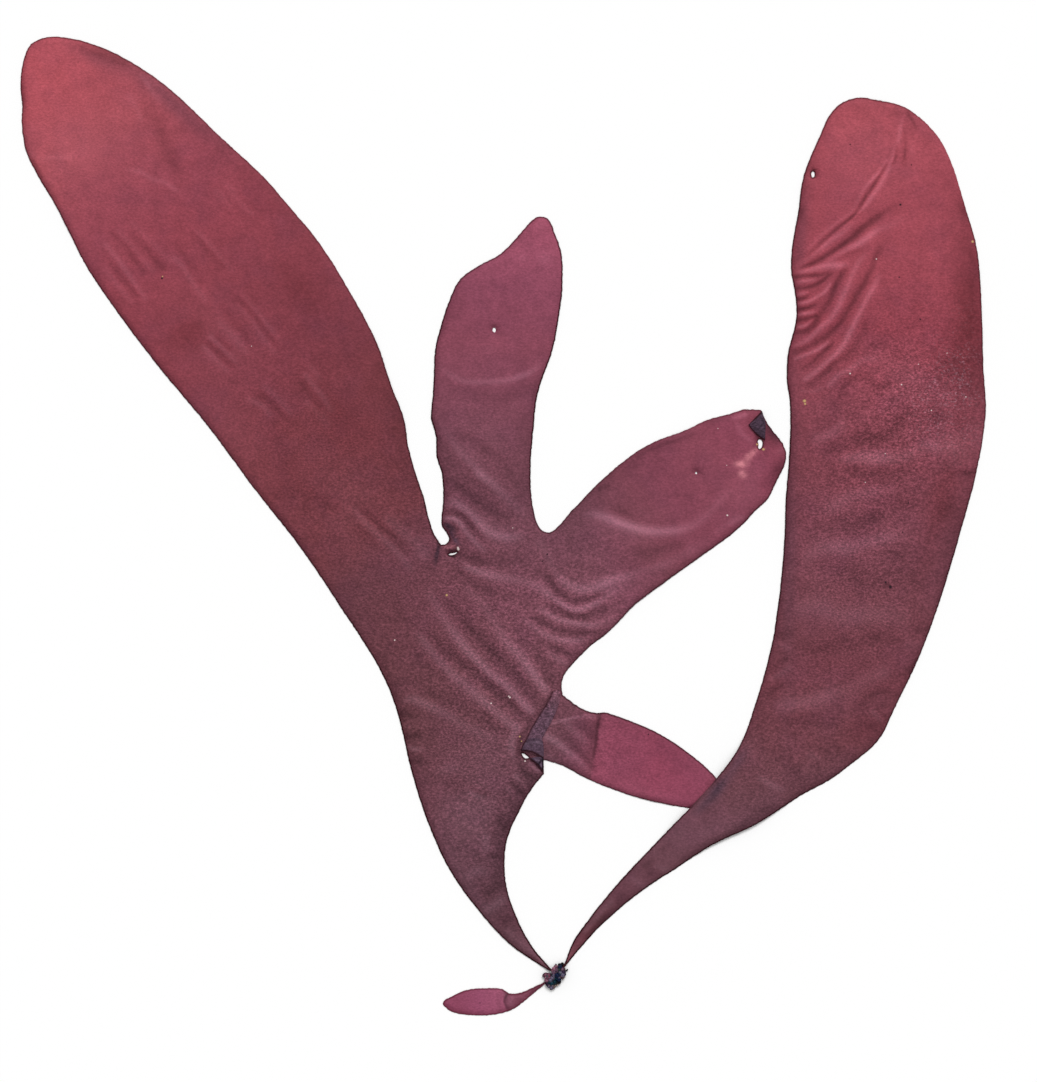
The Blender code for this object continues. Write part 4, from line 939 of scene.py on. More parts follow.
forkedFrond = {
    "nodes": [
        "forked_frond_base", "forked_frond_left_lobe", "forked_frond_middle_lobe",
        "forked_frond_right_lobe", "forked_frond_side_lobe",
    ],
    "slot": "forked_frond",
    # each lobe's fork, from one side of its cut to the other
    "forks": [
        ("leftShare", (-36.4, 62.6), (-19.7, 74.0)), ("middleShare", (-18.3, 75.2), (-3.7, 79.3)),
        ("rightShare", (1.9, 78.9), (5.8, 56.6)), ("sideShare", (1.2, 48.3), (-2.1, 37.2)),
    ],
    "stalkEnd": (-1.15, 1.4), "stalkGrows": [((-0.75, 1.2), 0.3), ((0, 0.8), 0.25)],
    "meshSize": 1.05, "rimSize": 0.46, "creaseSize": 0.36, "thickness": 0.38, "wobble": (0.04, 0.08),
    "lift": 0.25, "wave": 17, "curl": 0.1, "stalkRise": 0.35,
    # places where the blade stays pressed to the floor, with how far that reaches
    "pressed": [((28.2, 30.1), 6), ((35, 91.3), 1.5), ((-5.2, 38), 1.5), ((-17.6, 72.6), 1),
                ((-10.6, 110.8), 1), ((24, 86.3), 0.8)],
    "folds": baseCreases + lobeCreases,
    # soft patches: place, half length, half width, turn in degrees, strength
    "patches": {
        "shade": [
            ((-76.5, 157.8), 5, 1.2, -22, -1.0), ((-91.2, 150.5), 3, 0.6, 90, -0.6),
            ((37, 93.5), 2.5, 1.3, -54, -1.7),
            ((38, 87), 1.8, 1.0, 52, -1.1), ((36.3, 84.5), 1.2, 1, 45, -0.5),
            ((38.5, 90.3), 0.8, 0.8, 0, 0.5),
            ((4.3, 42.9), 1.4, 0.8, 20, -0.3), ((19.1, 32.0), 0.4, 0.25, 10, -0.5),
            ((-2, 123), 1.2, 1.2, 0, 0.35), ((-5.6, 123.2), 0.8, 0.6, 0, 0.3),
            ((-3, 128.5), 1, 0.8, 0, 0.3), ((-11.5, 107.5), 0.8, 0.6, 0, 0.15),
            ((-62.5, 110), 2.2, 1.8, 0, -0.3),
            ((27, 95.2), 1.5, 0.5, 15, -0.7), ((-17, 33), 1.6, 1.2, 0, -0.3),
            ((-18.5, 35.7), 2, 0.8, 10, 0.3),
            ((-82, 142), 8, 5, 0, 0.25), ((-58, 110), 8, 5, -50, 0.2), ((-56, 93), 9, 5, -55, 0.2),
            ((-36, 82), 10, 5, -60, 0.15),
            ((-42, 112), 12, 5, -50, -0.12), ((-15, 28), 5, 5, 0, 0.45), ((-12, 38), 5, 4, 0, 0.2),
            ((-12, 92), 5, 5, 0, 0.15),
            ((13, 77.3), 5, 2, -8, 0.5), ((9, 67), 5, 1.8, 15, 0.5), ((15, 71), 5, 2, 30, -0.3),
            ((33, 84), 4, 3, 50, 0.25),
            ((-7, 38.5), 0.5, 3, 0, 0.4), ((-3, 3.4), 3, 0.4, -52, 0.35), ((-77, 153), 3, 2, 0, -0.1),
            ((-17.9, 76.6), 0.9, 0.6, -60, -1.5), ((-18.5, 77.3), 0.8, 0.35, -20, -1.4),
            ((-11.5, 77), 4.5, 1.6, -22, 0.35),
        ],
        "edge": [
            ((-55, 141), 20, 7, -45, 0.35), ((-27, 96), 15, 6, -72, 0.45), ((-25, 43), 14, 5, -73, 0.35),
            ((-6, 32), 5, 4, 70, 0.9),
            ((-8.5, 22), 7, 4, 95, 0.7), ((-19, 113), 6, 4, 75, 0.25), ((-3.5, 94), 12, 4, 85, 0.3),
            ((12, 87), 9, 4, 40, 0.4),
            ((11, 45), 6, 4, -8, 0.6), ((21, 40), 6, 4, -30, 0.35), ((15, 31), 6, 3, -12, -0.35),
            ((-15, 13), 9, 5, -55, -0.4),
        ],
        "line": [
            ((-22, 30), 40, 8, 108, 0.4), ((-20, 95), 28, 3.5, 90, 0.35), ((-4, 96), 18, 3, 80, 0.3),
            ((0, 118), 12, 3, 90, 0.2),
            ((-50, 133), 30, 5, -48, -0.35), ((19, 91), 16, 4, 30, -0.4), ((-10.6, 110.8), 1, 1, 0, -1),
            ((24, 86.3), 1, 1, 0, -1),
            ((17, 41), 12, 4, -30, 0.15), ((-5, 22), 20, 5, 100, 0.2), ((-4, 5), 6, 3, -50, 0.4),
            ((1, 44.5), 9, 3, 0, 0.1), ((-1, 37.2), 3, 0.8, -15, -0.4),
        ],
        "brown": [((-63.2, 110.6), 4, 3, 10, 0.3), ((-43.8, 117.6), 5, 3, -50, 0.3),
                  ((-37, 95), 6, 4, -50, 0.25)],
        "rosy": [
            ((31.6, 87.8), 0.9, 0.5, 0, 0.9), ((31.9, 86.1), 0.55, 0.6, 0, 0.8),
            ((33.2, 89.3), 1.5, 0.4, 45, 0.75),
            ((-18.2, 73.7), 1.2, 0.25, -10, 0.3),
        ],
        "grain": [
            ((-12, 55), 22, 22, 0, 0.9), ((-12, 25), 14, 22, 0, 0.7), ((-14, 84), 10, 14, 0, 0.35),
            ((-38, 85), 22, 14, -55, 0.45), ((6, 66), 12, 10, 0, 0.4),
        ],
        # slate tint: painted shade in the pucker at the torn fork and in the wedge beside the turned corner,
        # and bluish bands along the left lobe's upper margin
        "slate": [
            ((-18.5, 77.2), 0.8, 0.3, -15, 0.9), ((-17.9, 76.2), 0.8, 0.35, -70, 0.9),
            ((-17.2, 74.7), 0.9, 0.3, -50, 0.8),
            ((-20.3, 72.6), 1.8, 0.25, 80, 0.7), ((-66, 150), 10, 1.5, -42, 0.35),
            ((-78, 157), 6, 1.5, -22, 0.3), ((37, 93.5), 2, 0.8, -54, 0.3),
        ],
    },
    "specks": [
        {"name": "white", "rise": 0.05, "spots": [
            ((-7.9, 47.9), 0.13), ((-8.1, 48.1), 0.1), ((-11.1, 46.9), 0.1), ((-27.6, 57.7), 0.1),
            ((-7.4, 76.9), 0.07),
            ((-52.1, 108.0), 0.06), ((27.7, 93.9), 0.06), ((29.2, 87.6), 0.06),
            ((-16.72, 73.25), 0.17), ((-16.78, 73.5), 0.14), ((29.3, 79.05), 0.12), ((-5.3, 37), 0.1),
        ]},
        {"name": "ochre", "rise": 0.04, "spots": [
            ((-18.7, 65.4), 0.16), ((-6.2, 41.2), 0.12), ((-5.9, 40.4), 0.09), ((34.42, 91.2), 0.14),
            ((35.5, 90.35), 0.18),
            ((-67.3, 119.9), 0.1),
        ]},
        {"name": "dark", "rise": 0.03, "spots": [
            ((-67.4, 119.6), 0.16), ((-1.5, 72.4), 0.14), ((-2.3, 71.2), 0.1), ((15.8, 41.6), 0.1),
        ]},
    ],
    "holes": [
        [(-10.9, 110.7), (-10.7, 111.2), (-10.3, 111.1), (-10.25, 110.6), (-10.6, 110.35)],
        [(23.75, 86.3), (24.0, 86.55), (24.25, 86.3), (24.0, 86.05)],
        [(34.75, 92.1), (35.25, 91.95), (35.42, 91.4), (35.25, 90.75), (34.9, 90.42), (34.58, 90.75),
         (34.66, 91.25), (34.55, 91.75)],
        [(-18.45, 72.4), (-18.0, 72.6), (-17.4, 72.7), (-16.95, 72.85), (-17.0, 72.6), (-17.4, 72.3),
         (-17.9, 72.2), (-18.3, 72.25)],
        [(-5.85, 38.35), (-5.5, 38.25), (-5.1, 38.05), (-4.8, 37.8), (-4.62, 37.55), (-4.95, 37.45),
         (-5.3, 37.4), (-5.6, 37.6), (-5.85, 38.0)],
    ],
    # loose layers: the fold at the side lobe's fork in two parts, its torn end,
    # and the right lobe's turned corner
    "flaps": [
        {"outline": [(-0.7, 48.9), (-1.3, 47.4), (-2.5, 45.5), (-3.5, 43.9), (-4.3, 42.5), (-5.0, 41.1),
                     (-5.3, 40.4), (-4.0, 40.9),
                     (-2.4, 40.8), (-1.8, 42.0), (-1.0, 43.4), (-0.2, 45.0), (0.55, 47.0), (0.85, 48.4),
                     (0.5, 49.2)],
         "free": [(-0.7, 48.9), (-1.3, 47.4), (-2.5, 45.5), (-3.5, 43.9), (-4.3, 42.5), (-5.3, 40.4)],
         "hinge": [(0.85, 48.4), (0.55, 47.0), (-0.2, 45.0), (-1.0, 43.4), (-1.8, 42.0), (-2.4, 40.8)],
         "lift": 0.2, "ramp": 1.2, "thickness": 0.25, "crumple": 0.04, "slate": 0.7, "shade": 0.1,
         "line": 0.6, "grain": 1.3,
         "fades": (0.3, 48.5),
         "folds": [
             {"width": 0.3, "lines": [[(-1.6, 44.9, -0.6), (-2.6, 43, -0.6)],
                                      [(-0.3, 46.6, 0.3), (-1.6, 43.6, 0.3)],
                                      [(0.1, 48.6, 0.5), (-0.3, 47.6, 0.4)]]},
         ]},
        {"outline": [(-5.3, 40.5), (-5.75, 39.8), (-6.0, 38.75), (-5.0, 38.72), (-4.3, 38.62),
                     (-3.5, 38.32), (-2.9, 37.95),
                     (-2.15, 37.5), (-2.1, 39.0), (-2.25, 40.2), (-2.5, 40.9), (-4.0, 41.0)],
         "free": [(-5.3, 40.5), (-5.75, 39.8), (-6.0, 38.75), (-5.0, 38.72), (-4.3, 38.62), (-3.5, 38.32),
                  (-2.9, 37.95),
                  (-2.15, 37.5)],
         "hinge": [(-2.15, 37.5), (-2.1, 39.0), (-2.25, 40.2), (-2.5, 40.9)],
         "lift": 0.32, "ramp": 1.2, "thickness": 0.25, "crumple": 0.06, "slate": 0.9, "shade": -0.05,
         "line": 0.75, "grain": 0.8,
         "folds": [
             {"width": 0.2, "lines": [
                 [(-5.3, 40.05, 1), (-4.4, 40.25, 0.5), (-3.4, 40.35, 1.1), (-2.5, 40.05, 0.8)],
                 [(-5.2, 40.4, -1), (-4.2, 40.65, -0.8), (-3, 40.7, -0.4)],
                 [(-2.2, 37.8, 1), (-3, 38.25, 0.5)],
             ]},
         ]},
        {"outline": [(-4.55, 37.45), (-3.9, 37.6), (-3.1, 37.75), (-2.15, 37.5), (-2.16, 36.3),
                     (-2.3, 35.0), (-3.0, 36.0),
                     (-3.8, 36.85)],
         "free": [(-2.3, 35.0), (-3.0, 36.0), (-3.8, 36.85), (-4.55, 37.45)],
         "hinge": [(-2.15, 37.5), (-2.16, 36.3), (-2.3, 35.0)],
         "lift": 0.25, "ramp": 1.5, "thickness": 0.22, "crumple": 0.1, "slate": 1.0, "shade": -0.1,
         "line": 0.5, "grain": 0.9,
         "folds": [
             {"width": 0.15, "rise": 0.05, "lines": [
                 [(-4.5, 37.4, -2), (-3.7, 36.9, -4), (-3.0, 36.3, -4.5), (-2.6, 35.7, -4),
                  (-2.4, 35.2, -4)],
                 [(-2.5, 37.1, -2.5), (-3.0, 36.55, -3)], [(-2.2, 37.4, -5), (-2.2, 36.2, -5),
                                                           (-2.3, 35.1, -5)],
                 [(-3.4, 37.2, 1.3), (-2.9, 37.1, 1.6)], [(-2.6, 36.4, 1.5), (-2.5, 36, 1)],
             ]},
         ]},
        {"outline": [(35.25, 96.9), (35.85, 94.9), (35.75, 91.9), (34.4, 92.7), (32.9, 94.5),
                     (34.1, 95.75)],
         "free": [(35.25, 96.9), (34.1, 95.75), (32.9, 94.5), (34.4, 92.7), (35.75, 91.9)],
         "hinge": [(35.25, 96.9), (35.85, 94.9), (35.75, 91.9)],
         "lift": 0.22, "ramp": 1.4, "thickness": 0.22, "crumple": 0.05, "slate": 0.95, "shade": -0.85,
         "line": 0.8, "grain": 1,
         "folds": []},
    ],
}

forkedMaterial = bladeMaterial("forked_frond_blade", forkedLook)
buildFrond("forked_frond_blade", forkedFrond, forkedMaterial)


# ---- the long frond, which passes over the end of the side lobe ----

longLook = {
    **bladeLook,
    "main": {"from": (50, 0), "to": (50, 150), "stops": [
        (0.02, (115, 64, 73)), (0.06, (92, 55, 62)), (0.095, (103, 63, 73)), (0.135, (100, 62, 71)),
        (0.17, (111, 71, 82)), (0.215, (105, 64, 73)), (0.27, (111, 63, 72)), (0.34, (113, 60, 70)),
        (0.42, (115, 64, 74)), (0.5, (120, 66, 78)), (0.58, (125, 64, 75)), (0.66, (135, 68, 80)),
        (0.74, (145, 65, 77)), (0.82, (157, 72, 84)), (0.9, (159, 73, 85)), (0.98, (169, 79, 90)),
    ]},
    "parts": [],
}

# the long crease from the tip to the left margin, and the furrow and ridge beside it
tipCreases = [
    {"width": 0.6, "rise": 0.2, "lines": [
        [(58.8, 132.3, -0.4), (57.5, 131.6, -0.4), (56, 130.8, -0.8), (54.8, 129.9, -1.3),
         (53.5, 129, -1.4),
         (52, 127.8, -1.5), (51, 126.8, -1.2), (50, 126, -0.7), (49, 125.3, -0.3)],
        [(59, 129.7, 0.2), (57.5, 128.7, 0.3), (55.5, 128, 0.5), (54.3, 127.3, 1.2), (53, 126.3, 1.3),
         (51.5, 125.3, 1.2),
         (50, 124.6, 0.9), (48.5, 123.7, 0.6), (47, 122.9, 0.3)],
        [(40.8, 121, 0.5), (42.5, 120.9, 1), (44.5, 121.3, 1.2), (46.5, 121.7, 1.2), (48.5, 121.7, 1.2),
         (49.7, 121.9, 0.4)],
    ]},
    {"width": 0.42, "rise": 0.25, "lines": [
        [(59.3, 147, 0.3), (58.9, 145, 0.7), (58.6, 143.3, 0.6), (58, 141.3, 0.5), (57.6, 139.9, 0.6),
         (57, 138.5, 0.7),
         (56.2, 137, 0.8), (55.4, 135.5, 0.9), (54.4, 134.1, 0.9), (53.3, 132.6, 1), (52.4, 131.5, 0.9),
         (51.5, 130.5, 0.8),
         (50.8, 129.5, 0.8), (49.5, 128, 1), (48, 126.8, 1.2), (46.2, 125.4, 1), (44.5, 124, 0.6),
         (42.8, 122.6, 0.4),
         (41.3, 121.5, 0.25)],
        [(51, 126.8, -0.4), (50, 126, -1), (49, 125.3, -1.5), (47.5, 124.3, -1.6), (46, 123.3, -1.6),
         (44.5, 122.4, -1.5),
         (43, 121.7, -1.4), (41.7, 121.25, -1), (41, 121.1, -0.6)],
        [(48.5, 123, -0.3), (50.5, 123.9, -0.5), (52, 124.4, -0.3)],
    ]},
    {"width": 0.3, "rise": 0.2, "lines": [
        [(56.7, 139.4, -0.3), (56, 138.3, -0.8), (54.6, 135.9, -1.2), (53.1, 133.7, -1.2),
         (51.8, 131.5, -1.1),
         (51.3, 130.7, -1.4), (50.8, 130.2, -1.9), (50.2, 129.7, -1.8), (49, 128.8, -1.3), (48, 128, -1.2),
         (46, 126.3, -1), (44.2, 124.6, -0.6), (43.2, 123.6, -0.3)],
        [(56.6, 139.7, 0.4), (55.5, 138, 0.8), (54.6, 137, 1), (53.8, 136.2, 0.8), (52.8, 135, 0.5),
         (52, 133.7, 0.4),
         (51.2, 132, 0.3), (50.4, 130.8, 0.4), (49.4, 130, 0.4), (48, 129, 0.4), (46.5, 127.9, 0.4),
         (45.2, 126.8, 0.3),
         (43.7, 125.2, 0.3), (42.3, 123.9, 0.15)],
        [(58.4, 142.5, -0.4), (58.2, 141, -0.8), (58, 140, -0.9), (57.6, 139.2, -0.8), (57.3, 138.8, -0.3)],
        [(59.5, 145.5, -0.2), (59.8, 143, -0.4), (59.7, 141, -0.9), (59.4, 139, -0.3)],
        [(60.2, 148, -1), (61, 146.5, -0.8), (61.7, 145, -0.3)], [(60.7, 142.5, 0.3), (61, 140.5, 0.25)],
    ]},
    {"width": 0.2, "rise": 0.1, "lines": [
        [(52.3, 130.9, -0.6), (51, 129.6, -0.8), (49.5, 128.1, -0.8), (48, 126.9, -0.7),
         (46.5, 125.6, -0.5)],
    ]},
]

# wrinkles and curved fans that spread from the left margin below the tip
marginCreases = [
    {"width": 0.34, "rise": 0.22, "lines": [
        [(41, 119.8, -1.1), (43, 120, -1), (44.8, 120.1, -1.1), (46.3, 120.3, -0.7)],
        [(41.3, 117.9, -1), (43, 118, -1.2), (44.5, 118.5, -1.3), (45.8, 119.3, -1.4), (47, 120.3, -0.9)],
        [(41.3, 116, -1.3), (42.5, 116.2, -1.1), (43.3, 117, -0.3)],
        [(41.3, 114.3, -1.4), (43, 114.5, -1.4), (44.2, 115, -0.9)],
        [(41.3, 112.4, -1.2), (43, 112.7, -1.4), (44.5, 113.2, -0.8)],
        [(41, 118.9, 0.4), (42.5, 119.1, 1), (44.3, 119.3, 0.6)], [(41.5, 116.8, 1), (43, 117.1, 0.6)],
        [(41.5, 115.3, 1), (43.2, 115.6, 1.2), (44.8, 116.5, 1), (45.9, 117.2, 1.2), (46.9, 118.6, 0.7)],
        [(41.5, 113.4, 1), (43, 113.6, 1.2), (44.2, 113.8, 0.6)],
        [(41.3, 111.2, 1), (42.7, 111.5, 1), (44, 112.4, 0.4)],
        [(41, 105.8, 0.7), (43, 106.6, 1), (45, 107.5, 1.2), (46.5, 108.6, 0.7)],
        [(42, 104, -0.5), (43.5, 104.9, -0.8), (45, 106.3, -1.1), (46.4, 107.5, -1.4), (47.4, 108.6, -0.6)],
        [(42, 100.3, 0.4), (44, 100.2, 0.4), (45.5, 100.8, 0.4)],
    ]},
    {"width": 0.52, "rise": 0.22, "lines": [
        [(41, 110.3, -0.8), (42.5, 110.5, -1.1), (43.8, 111.3, -1.2), (44.8, 112.8, -1.2),
         (45.8, 114.3, -1),
         (46.8, 115.7, -1.2), (47.5, 117.5, -1.4), (48.3, 119.3, -1.4), (49.2, 120.8, -1)],
        [(41, 108, 0.5), (43, 109, 0.8), (45, 111, 1), (46.8, 112.5, 1), (48, 114.2, 1), (49, 116.3, 1),
         (50, 118.5, 0.8),
         (50.8, 120.5, 0.8), (51.8, 122.3, 0.7), (52.7, 123.5, 0.3)],
        [(41, 107, -0.8), (43, 107.8, -0.8), (45.5, 109.2, -1), (47.5, 110.8, -1.2), (49, 112.5, -1.2),
         (50.3, 114.7, -1.2),
         (51.5, 116.8, -1.2), (52.7, 118.7, -1.2), (53.7, 120.7, -1), (54.5, 122.7, -0.9),
         (55.5, 124.8, -0.6)],
        [(42.7, 102.3, 0.8), (44.5, 103.6, 0.9), (46.3, 105.2, 1), (48, 106.7, 1.2), (49.3, 108.4, 1.2),
         (50.2, 110.2, 1.2),
         (51.2, 112.2, 1.2), (52.2, 114.2, 1), (53.3, 116.3, 1), (54.3, 118, 0.9), (55.2, 120, 0.3)],
        [(43, 101.2, -0.5), (44.5, 102.2, -0.6), (46.3, 103.7, -1), (48, 105.3, -0.8), (49.5, 106, -0.6),
         (51, 107.7, -0.6),
         (52, 109.3, -0.5), (53.2, 112, -0.4)],
        [(46.8, 101.3, 0.6), (48.3, 103, 0.7), (50.3, 104, 0.8), (52.5, 105.6, 0.4), (54.5, 105.8, 0.4)],
        [(49, 100.7, -0.6), (50.8, 102.3, -0.6), (53, 102.8, -0.3)],
        [(54, 101.5, -0.4), (56, 101.2, -0.5), (57.5, 101.5, -0.3)],
        [(54, 108, -0.6), (56.5, 108.2, -0.5)], [(66.5, 102.3, 0.4), (68, 101.5, 0.4)],
        [(66, 105.2, -0.4), (68.5, 105.5, -0.4)],
    ]},
]

# low bands across the middle, and longer ones down the stalk
bandCreases = [
    {"width": 1.2, "rise": 0.12, "strength": 1.15, "lines": [
        [(45, 92.3, 0.4), (46.5, 92.8, 0.5), (48.5, 94.5, 0.4)],
        [(45.5, 94, -0.2), (47, 95, -0.35), (47.8, 97, -0.35), (49, 99.5, -0.3)],
        [(47, 90.3, -0.6), (49, 90.8, -0.6), (50.5, 91, -0.4), (52.5, 92.3, -0.6), (55, 92.2, -0.75),
         (57, 93.3, -0.5),
         (58.5, 94.3, -0.6), (60, 96.3, -0.5)],
        [(48, 89, 0.15), (50, 88.9, 0.5), (52, 88.9, 0.7), (54, 88.8, 0.8), (56, 88.8, 0.8),
         (58, 88.7, 0.5), (60, 89.3, 0.4),
         (62, 90.3, 0.35), (64, 91, 0.5), (66, 90.5, 0.3), (68, 90.8, 0.2)],
        [(64.5, 97, -0.5), (65.5, 95.7, -0.5)], [(66, 79.3, -0.4), (67.3, 81, -0.4)],
        [(48, 86, -0.15), (50.5, 86.2, -0.35), (53, 86, -0.4), (55, 86, -0.4), (58, 86.2, -0.3),
         (60, 86, -0.15)],
        [(47, 80.5, 0.3), (49, 81.6, 0.4), (51, 82.4, 0.35), (54, 83, 0.35), (57, 83.5, 0.15)],
        [(44.5, 77, -0.2), (46.5, 77, -0.45), (49, 77.3, -0.5), (51.5, 77.4, -0.5), (54, 78.2, -0.5),
         (56, 79.5, -0.4),
         (58, 80.5, -0.4), (60.5, 81.2, -0.3)],
        [(43, 72, 0.2), (45.5, 73.3, 0.35), (48, 73.5, 0.5), (50, 73.3, 0.5), (52, 74, 0.4),
         (54.5, 74.6, 0.45),
         (57, 75.3, 0.45), (59, 75.5, 0.2)],
        [(42, 56.5, -0.2), (44.5, 56, -0.4), (47, 56.8, -0.4), (49, 57.3, -0.4), (51.5, 57, -0.3),
         (54, 57.7, -0.4), (57, 58, -0.3)],
        [(38.5, 46.5, 0.3), (41, 46.8, 0.45), (44, 47.3, 0.45), (46.5, 48.3, 0.4), (49.5, 49.3, 0.2),
         (53, 50.8, 0.25), (56, 52, 0.35)],
        [(40.5, 43.5, -0.3), (42.5, 43.7, -0.4), (45, 43.8, -0.3), (48, 43.5, -0.2)],
        [(60.5, 56.8, 0.2), (62.5, 56.5, 0.25)],
        [(35.5, 39, -0.2), (38.5, 37, -0.35), (41, 35.5, -0.3)], [(46, 38.7, -0.3), (48.5, 38.5, -0.3)],
        [(22.7, 20.1, -0.5), (25.6, 21.9, -0.6), (28.8, 23.9, -0.6), (33, 26.6, -0.6), (36, 28.2, -0.4)],
    ]},
    {"width": 1.7, "rise": 0.1, "strength": 1.25, "lines": [
        [(46, 70.5, -0.2), (49, 69.5, -0.35), (52, 68, -0.45), (54, 68, -0.3)],
        [(42, 63, 0.25), (44.5, 63.5, 0.3), (48, 62, 0.3), (51, 61.8, 0.35), (55, 62, 0.3),
         (59, 61.5, 0.2)],
    ]},
    {"width": 0.6, "rise": 0.16, "lines": [
        [(67.5, 86, -0.2), (69, 86.3, -0.6), (70.7, 86.2, -1), (71.7, 86.7, -0.6)],
        [(52, 46.5, -0.4), (53.5, 48, -0.55), (55.5, 48.8, -0.65), (57.5, 48.7, -0.4)],
        [(54.3, 45.3, 0.4), (55.5, 44, 0.3)],
        [(52, 43.5, -0.4), (54.5, 42.7, -0.4)], [(38, 58.5, -0.5), (40, 58.5, -0.3)],
        [(37.8, 57, 0.35), (39.7, 56.3, 0.3)],
        [(37.5, 53.2, -0.5), (39.3, 54.3, -0.4)], [(36.8, 51, 0.4), (38.5, 52, 0.4), (39.8, 53, 0.3)],
        [(36.3, 48.6, -0.7), (38.5, 49.9, -0.6)], [(60.5, 52.5, -0.8), (61.5, 54, -0.6)],
        [(62, 59.3, -0.5), (64, 59.8, -0.5)],
        [(34.3, 43.2, -0.4), (36, 44, -0.4)], [(35, 34, 0.4), (36.7, 33, 0.5), (38.7, 32, 0.4)],
        [(43.5, 38, 0.3), (45, 37.5, 0.3)],
        [(28.2, 33.2, -0.5), (27.3, 31.7, -0.7), (26.2, 30, -0.6), (25.6, 28.7, -0.3)],
        [(35, 28.7, -0.4), (37.5, 29.3, -0.4)],
        [(18.3, 21.9, -0.4), (19, 22.3, -0.3)], [(17, 19, 0.3), (19, 18.3, 0.4)],
        [(13, 17, 0.3), (15, 15.5, 0.35)],
        [(15.3, 19.2, -0.6), (16.3, 19.7, -0.5)], [(16, 17.8, -0.5), (17.3, 18, -0.4)],
        [(10.6, 13.2, -0.5), (11.6, 13.8, -0.5)],
        [(5, 8, 0.5), (7.5, 11, 0.5), (9.5, 13, 0.4)], [(5.5, 6.8, -0.6), (7.5, 9, -0.7), (9, 10.8, -0.4)],
        [(66, 99.6, 0.5), (67.5, 99.5, 0.4)],
    ]},
]

longFrond = {
    "nodes": ["long_frond"],
    "slot": "long_frond",
    "stalkEnd": (1.9, 2.7), "stalkGrows": [((1.35, 1.9), 0.35), ((0.9, 1.2), 0.3)],
    "meshSize": 0.9, "rimSize": 0.38, "creaseSize": 0.3, "thickness": 0.38, "wobble": (0.04, 0.07),
    "lift": 0.25, "wave": 19, "curl": 0.1, "stalkRise": 0.5,
    "pressed": [((44.1, 137.4), 1)],
    "crossing": {"over": (28.2, 30.1), "lift": 0.62, "flat": 5.5, "ramp": 8},
    "folds": tipCreases + marginCreases + bandCreases,
    "patches": {
        "shade": [
            ((69.7, 131.3), 1.6, 0.7, -75, -0.7), ((71.3, 123.3), 1.4, 0.6, -80, -0.6),
            ((71.2, 118), 1.2, 0.5, 90, -0.6),
            ((70.7, 111.8), 2.8, 1.2, 90, -0.35), ((41.8, 131), 1, 0.6, 80, -0.8),
            ((58.5, 106.8), 1.2, 1, 90, -0.35),
            ((61, 102.5), 1.5, 0.8, -25, 0.2), ((56.6, 67.2), 0.6, 0.3, -35, -1.2),
            ((68.7, 94.7), 1, 0.8, 0, -0.35),
            ((53, 140), 7, 6, 0, 0.2), ((68, 104), 3, 5, 0, -0.65), ((68.5, 90.5), 3, 4, 0, 0.4),
            ((58, 104), 5, 4, 0, 0.2),
            ((60, 70), 4, 6, 70, -0.25), ((45, 48), 6, 4, 0, 0.15), ((2, 3.3), 2.5, 0.35, 55, 0.5),
            ((46, 72), 4, 8, 0, 0.1),
        ],
        "line": [
            ((66, 140), 10, 4, -55, -0.7), ((39, 80), 60, 4, 90, 0.25), ((25.2, 31.5), 3, 0.8, 45, -0.7),
            ((72, 110), 30, 4, 95, -0.1), ((20, 18), 24, 8, 40, 0.35), ((3, 5), 5, 2, 55, 0.3),
        ],
        "edge": [
            ((41, 132), 16, 4, 85, 0.3), ((40, 72), 30, 4, 88, 0.3), ((57, 149), 10, 4, -20, 0.3),
            ((72, 122), 14, 7, -80, 0.55),
            ((74, 103), 6, 4, 90, 0.45), ((73, 92), 5, 4, 85, -0.25), ((69, 76), 10, 7, 73, 0.65),
            ((60, 50), 9, 6, 55, 0.2),
            ((44, 33), 7, 4, 32, 0.35), ((24, 23), 12, 5, 38, -0.22),
        ],
        # slate tint along the left margin, and painted shade where the long frond lies over the side lobe's
        # end
        "slate": [
            ((42, 128), 8, 1.2, 85, 0.3), ((40, 78), 30, 1.2, 89, 0.2),
            ((27.6, 32.3), 2.6, 1.0, 52, 0.7), ((31, 36.8), 3, 0.9, 55, 0.4),
            ((25, 29.4), 2, 0.8, 45, 0.35),
        ],
        "brown": [((53.8, 42.3), 6, 3, 20, 0.3), ((70.5, 112), 14, 2.8, 93, 0.5),
                  ((66, 82), 12, 2.5, 75, 0.35)],
        "bloom": [((68.8, 101), 10, 4.5, 86, 1.0), ((63, 97), 8, 5, 60, 0.45)],
        "grain": [((52, 72), 14, 26, 0, 0.95), ((62, 98), 12, 14, 0, 0.9), ((38, 36), 14, 16, 0, 0.6)],
    },
    "specks": [
        {"name": "white", "rise": 0.05, "spots": [
            ((54.8, 122.9), 0.09), ((50.3, 103.3), 0.11), ((59.1, 101.4), 0.1), ((64.2, 97.0), 0.09),
            ((56.3, 89.6), 0.07),
            ((70.1, 99.3), 0.08), ((62.0, 104.9), 0.07), ((66.9, 106.8), 0.07), ((52.9, 84.7), 0.07),
        ]},
        {"name": "ochre", "rise": 0.05, "spots": [((42.5, 98.6), 0.22), ((42.6, 98.1), 0.15),
                                                  ((71.3, 125.9), 0.18)]},
        {"name": "dark", "rise": 0.03, "spots": [
            ((58.9, 132.2), 0.16), ((60.8, 139.0), 0.1), ((50.3, 142.5), 0.1), ((62.3, 112.6), 0.12),
            ((58.7, 119.8), 0.11),
            ((59.3, 76.2), 0.12), ((60.3, 81.2), 0.1), ((57.2, 66.8), 0.24), ((56.4, 67.6), 0.15),
        ]},
    ],
    "holes": [[(43.7, 137.3), (43.75, 137.8), (44.05, 138.0), (44.35, 137.7), (44.35, 137.2),
               (44.1, 136.85), (43.8, 136.95)]],
}

